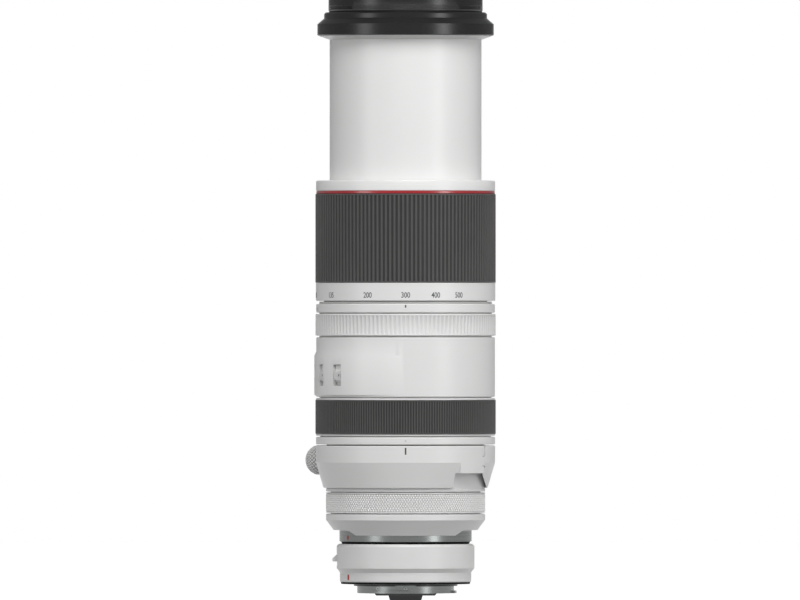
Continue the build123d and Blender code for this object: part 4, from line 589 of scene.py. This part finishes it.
def pin(radius, azimuth, heights, size, sides=16):
    """Small upright pin at a place inside the tube."""
    centre = spot(radius, azimuth, 0)
    verts = []
    for height in heights:
        for i in range(sides):
            turn = 2 * pi * i / sides
            verts.append(centre + Vector((size * cos(turn), size * sin(turn), height)) * MM)
    faces = [(i, (i + 1) % sides, sides + (i + 1) % sides, sides + i) for i in range(sides)]
    faces.append(tuple(reversed(range(sides))))
    faces.append(tuple(range(sides, 2 * sides)))
    return verts, faces


def array_piece(name, strip, finish, body, slot, **values):
    """Piece made by the ring array tree from one strip, as a plain mesh."""
    mesh = bpy.data.meshes.new(name)
    mesh.from_pydata([tuple(point) for point in strip[0]], [], strip[1])
    piece = link_piece(name, mesh)
    modifier = piece.modifiers.new("Ring Array", "NODES")
    modifier.node_group = TREES["ring"]
    inputs = {label.replace("_", " "): value for label, value in values.items()}
    inputs["Material"] = FINISH[finish]
    set_inputs(modifier, inputs)
    bpy.context.view_layer.update()
    graph = bpy.context.evaluated_depsgraph_get()
    plain = bpy.data.meshes.new_from_object(piece.evaluated_get(graph), depsgraph=graph)
    if not plain.polygons:
        raise RuntimeError(f"{name}: the ring array made no faces")
    piece.modifiers.remove(modifier)
    piece.data = plain
    plain.name = name
    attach(piece, body)
    return piece


def period_strip(count, section, seat, wave):
    """One period of a ribbed ring; section is (height, share of the wave, plain and root radius)."""
    pitch = 360.0 / count
    loop = len(section) + 2
    verts = []
    faces = []
    for share, rise in wave:
        azimuth = pitch * share
        verts.append(spot(seat, azimuth, section[0][0]))
        for height, ribbed, radius, root in section:
            rho = radius - (radius - root) * (1 - rise) * ribbed
            verts.append(spot(rho, azimuth, height))
        verts.append(spot(seat, azimuth, section[-1][0]))
    for i in range(len(wave) - 1):
        for j in range(loop):
            k = (j + 1) % loop
            faces.append((i * loop + j, (i + 1) * loop + j, (i + 1) * loop + k, i * loop + k))
    return verts, faces


def ribbed_section(bottom, top, border, crest, root, edge=0.3):
    """Heights and radii of a ribbed ring between two plain borders."""
    run = 0.3
    soft = 0.3 * edge
    return (
        (bottom, 0.0, crest - edge, root),
        (bottom + soft, 0.0, crest - soft, root),
        (bottom + edge, 0.0, crest, root),
        (bottom + border, 0.0, crest, root),
        (bottom + border + run, 1.0, crest, root),
        (top - border - run, 1.0, crest, root),
        (top - border, 0.0, crest, root),
        (top - edge, 0.0, crest, root),
        (top - soft, 0.0, crest - soft, root),
        (top, 0.0, crest - edge, root),
    )


def ribbed_grip(node, body, ribs, depth, seat_depth):
    """Rubber grip with rounded ribs, over the place of a plain CAD grip."""
    crest = high(node, 0)
    section = ribbed_section(low(node), high(node), 0.6, crest, crest - depth / MM)
    strip = period_strip(ribs, section, high("index_ring", 0) - seat_depth, RIB_WAVE)
    return array_piece("ribbed_" + node, strip, "grip_rubber", body, "grip_rubber", Count=ribs)


class LensPartsSettings(bpy.types.PropertyGroup):
    """Sizes that a user of the panel may change before building."""
    zoom_ribs: bpy.props.IntProperty(
        name="Zoom ribs", description="Ribs round the zoom grip", default=130, min=20)
    focus_ribs: bpy.props.IntProperty(
        name="Focus ribs", description="Ribs round the focus grip", default=210, min=20)
    flutes: bpy.props.IntProperty(
        name="Flutes", description="Flutes round the tension ring", default=126, min=20)
    rib_depth: bpy.props.FloatProperty(
        name="Rib depth", description="Depth of the rubber ribs", default=0.55 * MM, unit="LENGTH")
    flute_depth: bpy.props.FloatProperty(
        name="Flute depth", description="Depth of the flutes", default=0.42 * MM, unit="LENGTH")
    knurls: bpy.props.IntProperty(
        name="Knurls", description="Diamonds in one row of the control ring", default=180, min=20)
    knurl_height: bpy.props.FloatProperty(
        name="Knurl height", description="Height of one diamond", default=2.2 * MM, unit="LENGTH")
    knurl_depth: bpy.props.FloatProperty(
        name="Knurl depth", description="Depth of the knurling", default=0.46 * MM, unit="LENGTH")
    digit_height: bpy.props.FloatProperty(
        name="Digit height", description="Height of the dial numbers", default=2.9 * MM, unit="LENGTH")
    print_colour: bpy.props.FloatVectorProperty(
        name="Print", description="Colour of the printed marks", default=(0.07, 0.07, 0.072),
        subtype="COLOR", size=3)


class LENS_OT_dress_nodes(bpy.types.Operator):
    """Give every CAD node its finish and smooth shading"""
    bl_idname = "lens.dress_nodes"
    bl_label = "Dress CAD nodes"

    def execute(self, context):
        make_finishes()
        TREES["smooth"] = smooth_tree()
        TREES["ring"] = ring_array_tree()
        for name, node in NODES.items():
            if SLOT_OF[name] not in FINISH:
                raise RuntimeError(f"{name}: no finish for slot {SLOT_OF[name]}")
            finish = "gasket_rubber" if name in GASKETS else SLOT_OF[name]
            node.data.materials.clear()
            node.data.materials.append(FINISH[finish])
            modifier = node.modifiers.new("Smooth by Angle", "NODES")
            modifier.node_group = TREES["smooth"]
            if name in CRISP_NODES:
                set_inputs(modifier, {"Sharp Angle": CRISP_ANGLE})
        return {"FINISHED"}


class LENS_OT_zoom_grip(bpy.types.Operator):
    """Rubber zoom grip with rounded ribs"""
    bl_idname = "lens.zoom_grip"
    bl_label = "Zoom grip"

    def execute(self, context):
        settings = context.scene.lens_parts
        depth = settings.rib_depth
        piece = ribbed_grip("zoom_grip", "zoom_ring", settings.zoom_ribs, depth, seat_depth=1.0)
        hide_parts("zoom_grip")
        return {"FINISHED"}


class LENS_OT_focus_grip(bpy.types.Operator):
    """Rubber focus grip with rounded ribs"""
    bl_idname = "lens.focus_grip"
    bl_label = "Focus grip"

    def execute(self, context):
        settings = context.scene.lens_parts
        depth = 0.85 * settings.rib_depth
        piece = ribbed_grip("focus_grip", "focus_ring", settings.focus_ribs, depth, seat_depth=0.7)
        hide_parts("focus_grip")
        return {"FINISHED"}


class LENS_OT_tension_ring(bpy.types.Operator):
    """White tension ring with shallow flutes"""
    bl_idname = "lens.tension_ring"
    bl_label = "Tension ring"

    def execute(self, context):
        settings = context.scene.lens_parts
        border = 0.75
        crest = high("tension_ring", 0)
        root = crest - settings.flute_depth / MM
        section = ribbed_section(low("tension_ring"), high("tension_ring"), border, crest, root, edge=0.4)
        bore = high("index_ring", 0) - 1.3
        strip = period_strip(settings.flutes, section, bore, FLUTE_WAVE)
        piece = array_piece("fluted_tension_ring", strip, "white_flutes", "tension_ring", "white_paint",
                            Count=settings.flutes)
        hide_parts("tension_ring")
        return {"FINISHED"}


class LENS_OT_control_ring(bpy.types.Operator):
    """Control ring: a turned band with a diamond knurl"""
    bl_idname = "lens.control_ring"
    bl_label = "Control ring"

    def execute(self, context):
        settings = context.scene.lens_parts
        bottom = low("control_ring")
        top = high("control_ring")
        crest = high("control_ring", 0)
        floor_r = crest - settings.knurl_depth / MM
        bore = crest - 2.3
        bevel = 0.2
        lip = 0.35
        band = turned((
            (bore, bottom), (bore, top), (crest - bevel, top), (crest - 0.05, top - 0.07),
            (crest, top - bevel), (crest, top - lip), (floor_r, top - lip - 0.1),
            (floor_r, bottom + lip + 0.1), (crest, bottom + lip), (crest, bottom + bevel),
            (crest - 0.05, bottom + 0.07), (crest - bevel, bottom)))
        piece = make_piece("control_band", [band], "white_knurl", "control_ring")
        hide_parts("control_ring")
        tall = settings.knurl_height / MM
        rows = floor((top - bottom - 0.2) / (tall / 2)) - 1
        start = (bottom + top) / 2 - (rows - 1) * tall / 4
        half = 180.0 / settings.knurls
        points = []
        for radius, share in ((floor_r - 0.05, 1.0), (crest - 0.03, 0.16)):
            points += [
                spot(radius, -share * half, start), spot(radius, 0, start - share * tall / 2),
                spot(radius, share * half, start), spot(radius, 0, start + share * tall / 2),
            ]
        sides = [(0, 1, 5, 4), (1, 2, 6, 5), (2, 3, 7, 6), (3, 0, 4, 7), (4, 5, 6, 7), (3, 2, 1, 0)]
        array_piece("control_knurl", (points, sides), "white_knurl", "control_ring", "white_paint",
                    Count=settings.knurls, Rows=rows, Row_Pitch=tall / 2 * MM, Stagger=1.0,
                    Weld_Distance=0.0, Sharp_Angle=radians(20))
        return {"FINISHED"}


class LENS_OT_dial_numbers(bpy.types.Operator):
    """Plain numbers of the zoom dial, bent round the zoom ring"""
    bl_idname = "lens.dial_numbers"
    bl_label = "Dial numbers"

    def execute(self, context):
        height = context.scene.lens_parts.digit_height / MM
        radius = high("zoom_ring", 0)
        middle = 150.3
        narrowing = 0.80
        proud = 0.03
        sunk = 0.05
        parts = []
        for word, azimuth in DIAL:
            curve = bpy.data.curves.new("digits", "FONT")
            curve.body = word
            curve.align_x = "CENTER"
            curve.align_y = "CENTER"
            curve.size = 1.0
            curve.extrude = 0.01
            curve.offset = 0.012
            curve.resolution_u = 4
            text = bpy.data.objects.new("digits", curve)
            context.scene.collection.objects.link(text)
            context.view_layer.update()
            graph = context.evaluated_depsgraph_get()
            flat = bpy.data.meshes.new_from_object(text.evaluated_get(graph), depsgraph=graph)
            bpy.data.objects.remove(text)
            tall = max(v.co.y for v in flat.vertices) - min(v.co.y for v in flat.vertices)
            centre = (max(v.co.y for v in flat.vertices) + min(v.co.y for v in flat.vertices)) / 2
            scale = height / tall
            verts = []
            for v in flat.vertices:
                turn = azimuth + 180 * v.co.x * scale * narrowing / (pi * radius)
                rho = radius + (proud if v.co.z > 0 else -sunk)
                verts.append(spot(rho, turn, middle + (v.co.y - centre) * scale))
            faces = [tuple(p.vertices) for p in flat.polygons]
            if not faces:
                raise RuntimeError(f"the number {word} made no faces")
            parts.append((verts, faces))
            bpy.data.meshes.remove(flat)
        make_piece("dial_numbers", parts, "print_grey", "zoom_ring", sharp=40)
        return {"FINISHED"}


class LENS_OT_marks(bpy.types.Operator):
    """Index tick, collar line, shoulder dot and the red marks of the converter"""
    bl_idname = "lens.marks"
    bl_label = "Index marks"

    def execute(self, context):
        skin = high("index_ring", 0)
        tick_width = 0.7
        tick = line_on(skin, 0.0, tick_width, (143.7, high("index_ring") - 0.45))
        make_piece("index_tick", [tick], "print_grey", "barrel")
        sides = [line_on(skin, azimuth, 0.35, (142.2, 143.9)) for azimuth in (-86.0, -82.0, -78.5)]
        make_piece("setting_ticks", sides, "print_grey", "barrel")
        collar_r = skin + 0.1
        collar_mark = line_on(collar_r, 0.0, 0.8, (67.5, high("collar_base") - 0.9))
        make_piece("collar_line", [collar_mark], "print_grey", "gate")
        dot = stud(collar_r, 0.0, 74.6, size=0.55, proud=0.05)
        make_piece("shoulder_dot", [dot], "print_pale", "barrel")
        foot_r = -low("converter_housing", 1) - 1.65
        red = patch(foot_r, (-61.8, -59.0), (2.2, 5.1), proud=0.05)
        make_piece("converter_red_mark", [red], "print_red", "barrel")
        ring_mark = line_on(high("lens_mount_ring", 0), -60.8, 1.6, (23.2, 25.4))
        make_piece("mount_red_mark", [ring_mark], "print_red", "barrel")
        return {"FINISHED"}


class LENS_OT_switches(bpy.types.Operator):
    """Printed brackets, setting dots and index nubs beside the four switches"""
    bl_idname = "lens.switches"
    bl_label = "Switch marks"

    def execute(self, context):
        skin = high("index_ring", 0)
        thumb_r = skin + 0.75
        bottom, top = 103.3, 114.2
        line = 0.16
        brackets = []
        dots = []
        for switch, azimuth in SWITCHES:
            right = azimuth + 5.4
            left = azimuth - 4.6
            brackets.append(line_on(skin, right, line, (bottom, top)))
            brackets.append(patch(skin, (left, right), (top - line, top)))
            brackets.append(patch(skin, (left, right), (bottom, bottom + line)))
            for height in (108.9, 106.9):
                dots.append(stud(skin, azimuth + 7.2, height, size=0.28, proud=0.04, sides=12))
        make_piece("switch_brackets", brackets, "print_grey", "barrel")
        make_piece("switch_dots", dots, "print_grey", "barrel")
        for switch, azimuth in SWITCHES:
            nub = patch(thumb_r, (azimuth + 1.4, azimuth + 2.0), (108.1, 109.1), proud=0.03, sunk=0.05)
            make_piece(switch + "_nub", [nub], "print_grey", switch)
        return {"FINISHED"}


class LENS_OT_front_end(bpy.types.Operator):
    """Fine ridges outside the filter ring and the thread inside it"""
    bl_idname = "lens.front_end"
    bl_label = "Front ring details"

    def execute(self, context):
        outer = 40.1
        ridge_start = 298.6
        ridge_pitch = 0.62
        ridges = []
        for i in range(4):
            z = ridge_start + ridge_pitch * i
            ridges.append(turned((
                (outer - 0.1, z), (outer - 0.1, z + 0.4), (outer + 0.02, z + 0.34), (outer + 0.09, z + 0.2),
                (outer + 0.02, z + 0.06))))
        make_piece("front_ridges", ridges, "black_plastic", "front_barrel", sharp=60)
        thread_start = high("filter_ring") - 0.9
        thread_pitch = 0.75
        root = 38.56
        crest = 38.2
        thread = []
        for i in range(5):
            z = thread_start - thread_pitch * i
            thread.append(turned(((root, z - 0.3), (crest, z - 0.06), (crest, z + 0.06), (root, z + 0.3))))
        make_piece("filter_thread_ridges", thread, "black_plastic", "front_barrel")
        return {"FINISHED"}


class LENS_OT_lock_knob(bpy.types.Operator):
    """Domed clamp knob with a crossing diagonal knurl, its hub and its stud"""
    bl_idname = "lens.lock_knob"
    bl_label = "Lock knob"

    def outline(self, tip, end, rim_r):
        """Points (x, radius, share of the knurl) from the stud's tip, over hub and side, to the dome."""
        base = low("clamp_washer", 0) - 0.05
        stud_r = 2.45
        hub_r = 5.0
        dome_h = 5.8
        dome_r = (rim_r ** 2 + dome_h ** 2) / (2 * dome_h)
        profile = [
            (tip, 0.001, 0.0), (tip, stud_r - 0.4, 0.0), (tip - 0.4, stud_r, 0.0), (base, stud_r, 0.0),
            (base, hub_r, 0.0), (base - 0.8, hub_r, 0.0), (base - 0.95, 6.6, 0.0), (base - 1.3, 7.15, 0.0),
        ]
        side_start = base - 1.5
        side_stop = end + dome_h
        side_steps = 36
        for i in range(side_steps + 1):
            profile.append((side_start + (side_stop - side_start) * i / side_steps, rim_r - 0.02, 1.0))
        reach = asin(rim_r / dome_r)
        dome_steps = 60
        for i in range(1, dome_steps):
            angle = reach * (1 - i / dome_steps)
            fade = min(1.0, max(0.0, (angle / reach - 0.16) / 0.2))
            profile.append((end + dome_r - dome_r * cos(angle), dome_r * sin(angle), fade))
        profile.append((end, 0.001, 0.0))
        return profile

    def execute(self, context):
        start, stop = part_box("lock_knob")
        centre_y = (start.y + stop.y) / 2 / MM
        centre_z = (start.z + stop.z) / 2 / MM
        profile = self.outline(stop.x / MM, start.x / MM, (stop.z - start.z) / 2 / MM)
        around = 320
        ridges = 20
        turns_per_mm = 0.45
        sharpness = 5.0
        depth = 0.6
        verts = []
        faces = []
        shades = []
        run = 0.0
        before = profile[0]
        for x, radius, knurl in profile:
            run += sqrt((x - before[0]) ** 2 + (radius - before[1]) ** 2)
            before = (x, radius)
            slope = turns_per_mm * run
            for i in range(around):
                turn = i / around
                one = (turn * ridges + slope) % 1.0
                two = (turn * ridges - slope) % 1.0
                groove = max(0.0, 1 - sharpness * min(one, 1 - one), 1 - sharpness * min(two, 1 - two))
                rho = max(0.001, radius - depth * knurl * groove)
                # Painted shade: the knurl's groove share, which darkens the knob's colour in its grooves
                shades.append(knurl * groove)
                angle = 2 * pi * turn
                verts.append(Vector((x, centre_y + rho * sin(angle), centre_z + rho * cos(angle))) * MM)
        for level in range(len(profile) - 1):
            for i in range(around):
                k = (i + 1) % around
                a = level * around
                b = a + around
                faces.append((a + k, a + i, b + i, b + k))
        faces.append(tuple(range(around)))
        last = (len(profile) - 1) * around
        faces.append(tuple(last + i for i in reversed(range(around))))
        piece = make_piece(
            "knurled_lock_knob", [(verts, faces)], "white_knob", "lock_knob", sharp=60)
        # The groove attribute carries the painted shade of the knurl to the knob's material
        piece.data.attributes.new("groove", "FLOAT", "POINT").data.foreach_set("value", shades)
        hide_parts("lock_knob")
        return {"FINISHED"}


class LENS_OT_mount_details(bpy.types.Operator):
    """Small screws round the bayonet tube and the contact pads inside it"""
    bl_idname = "lens.mount_details"
    bl_label = "Mount details"

    def execute(self, context):
        tube_r = 25.2
        screw_z = -2.2
        head_rise = 0.12
        head_r = 0.95
        heads = [stud(tube_r, azimuth, screw_z, head_r, head_rise, sides=24) for azimuth in MOUNT_SCREWS]
        make_piece("bayonet_screws", heads, "screw_steel", "barrel")
        crosses = []
        for azimuth in MOUNT_SCREWS:
            for width, height in ((0.22, 1.1), (1.1, 0.22)):
                heights = (screw_z - height / 2, screw_z + height / 2)
                crosses.append(line_on(tube_r + head_rise, azimuth, width, heights, proud=0.02))
        make_piece("bayonet_screw_slots", crosses, "black_anodised", "barrel")
        face = low("converter_contacts")
        pad_r = 21.6
        pad_step = 6.46
        pads = [pin(pad_r, 180 + pad_step * i, (face + 0.05, face + 0.35), 0.6) for i in range(-5, 6)]
        make_piece("contact_pads", pads, "contact_gold", "barrel")
        return {"FINISHED"}


class LENS_OT_stage(bpy.types.Operator):
    """Pale floor, white surroundings, soft lamps and the camera"""
    bl_idname = "lens.stage"
    bl_label = "Stage"

    def execute(self, context):
        self.make_floor()
        self.make_world(context)
        for values in LAMPS:
            self.lamp(context, *values)
        camera = bpy.data.cameras.new("camera")
        camera.sensor_width = 36.0
        camera.lens = 1038.0
        camera.clip_end = 100.0
        eye = bpy.data.objects.new("camera", camera)
        eye.location = (-0.0029, -12.0, 0.1477)
        eye.rotation_euler = (radians(90), 0, 0)
        context.scene.collection.objects.link(eye)
        context.scene.camera = eye
        context.scene.view_settings.view_transform = "Standard"
        return {"FINISHED"}

    def lamp(self, context, name, azimuth, distance, height, size, power):
        """Soft rectangular lamp aimed at the middle of the lens; lengths in metres."""
        light = bpy.data.lights.new(name, "AREA")
        light.shape = "RECTANGLE"
        light.size, light.size_y = size
        light.energy = power
        place = spot(distance / MM, azimuth, height / MM)
        holder = bpy.data.objects.new(name, light)
        holder.location = place
        aim = Vector((0, 0, 0.15)) - place
        holder.rotation_euler = aim.to_track_quat("-Z", "Y").to_euler()
        context.scene.collection.objects.link(holder)

    def make_floor(self):
        """Pale floor just under the lens; it keeps the lens's shadow."""
        height = low("converter_baffle") - 0.1
        reach = 3.0 / MM
        corners = [Vector((x, y, height)) * MM for x, y in
                   ((-reach, -reach), (reach, -reach), (reach, reach), (-reach, reach))]
        mesh = bpy.data.meshes.new("floor")
        mesh.from_pydata([tuple(c) for c in corners], [], [(0, 1, 2, 3)])
        material = bpy.data.materials.new("floor")
        material.use_nodes = True
        tree = material.node_tree
        shader = tree.nodes["Principled BSDF"]
        shader.inputs["Base Color"].default_value = (0.22, 0.22, 0.22, 1)
        shader.inputs["Roughness"].default_value = 0.9
        shader.inputs["Emission Color"].default_value = (1, 1, 1, 1)
        path = tree.nodes.new("ShaderNodeLightPath")
        seen = math_node(tree, "MAXIMUM", path.outputs["Is Camera Ray"], path.outputs["Is Glossy Ray"])
        seen = math_node(tree, "MAXIMUM", seen, path.outputs["Is Transmission Ray"])
        tree.links.new(math_node(tree, "MULTIPLY", seen, 0.90), shader.inputs["Emission Strength"])
        mesh.materials.append(material)
        link_piece("floor", mesh)

    def make_world(self, context):
        """White to the camera, an even level of light, and a dim room with a bright wall in reflections."""
        dim = 0.05
        bright = 0.17
        world = bpy.data.worlds.new("studio")
        world.use_nodes = True
        context.scene.world = world
        tree = world.node_tree
        tree.nodes.clear()
        leave = tree.nodes.new("ShaderNodeOutputWorld")
        ambient = tree.nodes.new("ShaderNodeBackground")
        ambient.inputs["Strength"].default_value = 0.40
        seen = tree.nodes.new("ShaderNodeBackground")
        white = tree.nodes.new("ShaderNodeBackground")
        place = tree.nodes.new("ShaderNodeTexCoord")
        parts = tree.nodes.new("ShaderNodeSeparateXYZ")
        tree.links.new(place.outputs["Generated"], parts.inputs[0])
        ramp = tree.nodes.new("ShaderNodeMapRange")
        ramp.inputs["From Min"].default_value = -0.9
        ramp.inputs["From Max"].default_value = 0.5
        ramp.inputs["To Min"].default_value = dim
        ramp.inputs["To Max"].default_value = bright
        tree.links.new(parts.outputs[1], ramp.inputs["Value"])
        backdrop = tree.nodes.new("ShaderNodeMapRange")
        backdrop.inputs["From Min"].default_value = 0.95
        backdrop.inputs["From Max"].default_value = 0.995
        backdrop.inputs["To Max"].default_value = 1.0 - bright
        tree.links.new(parts.outputs[1], backdrop.inputs["Value"])
        strength = math_node(tree, "ADD", ramp.outputs[0], backdrop.outputs[0])
        tree.links.new(strength, seen.inputs["Strength"])
        path = tree.nodes.new("ShaderNodeLightPath")
        mirror = math_node(
            tree, "MAXIMUM", path.outputs["Is Glossy Ray"], path.outputs["Is Transmission Ray"])
        first = tree.nodes.new("ShaderNodeMixShader")
        second = tree.nodes.new("ShaderNodeMixShader")
        tree.links.new(mirror, first.inputs[0])
        tree.links.new(ambient.outputs[0], first.inputs[1])
        tree.links.new(seen.outputs[0], first.inputs[2])
        tree.links.new(path.outputs["Is Camera Ray"], second.inputs[0])
        tree.links.new(first.outputs[0], second.inputs[1])
        tree.links.new(white.outputs[0], second.inputs[2])
        tree.links.new(second.outputs[0], leave.inputs[0])
        for node in (ambient, seen, white):
            node.inputs["Color"].default_value = (1, 1, 1, 1)


OPERATORS = (
    LENS_OT_dress_nodes,
    LENS_OT_zoom_grip,
    LENS_OT_focus_grip,
    LENS_OT_tension_ring,
    LENS_OT_control_ring,
    LENS_OT_dial_numbers,
    LENS_OT_marks,
    LENS_OT_switches,
    LENS_OT_front_end,
    LENS_OT_lock_knob,
    LENS_OT_mount_details,
    LENS_OT_stage,
)


class LENS_PT_parts(bpy.types.Panel):
    """Lists the lens pieces in the order they are built"""
    bl_idname = "LENS_PT_parts"
    bl_label = "Lens"
    bl_space_type = "VIEW_3D"
    bl_region_type = "UI"
    bl_category = "Lens"

    def draw(self, context):
        settings = context.scene.lens_parts
        for label in settings.bl_rna.properties.keys():
            if label not in ("rna_type", "name"):
                self.layout.prop(settings, label)
        for operator in OPERATORS:
            self.layout.operator(operator.bl_idname)


CLASSES = (LensPartsSettings, *OPERATORS, LENS_PT_parts)


def register():
    for item in CLASSES:
        bpy.utils.register_class(item)
    bpy.types.Scene.lens_parts = bpy.props.PointerProperty(type=LensPartsSettings)


def unregister():
    del bpy.types.Scene.lens_parts
    for item in reversed(CLASSES):
        bpy.utils.unregister_class(item)


def main():
    register()
    for operator in OPERATORS:
        step = operator.bl_idname.split(".")[1]
        getattr(bpy.ops.lens, step)()


if __name__ == "__main__":
    main()
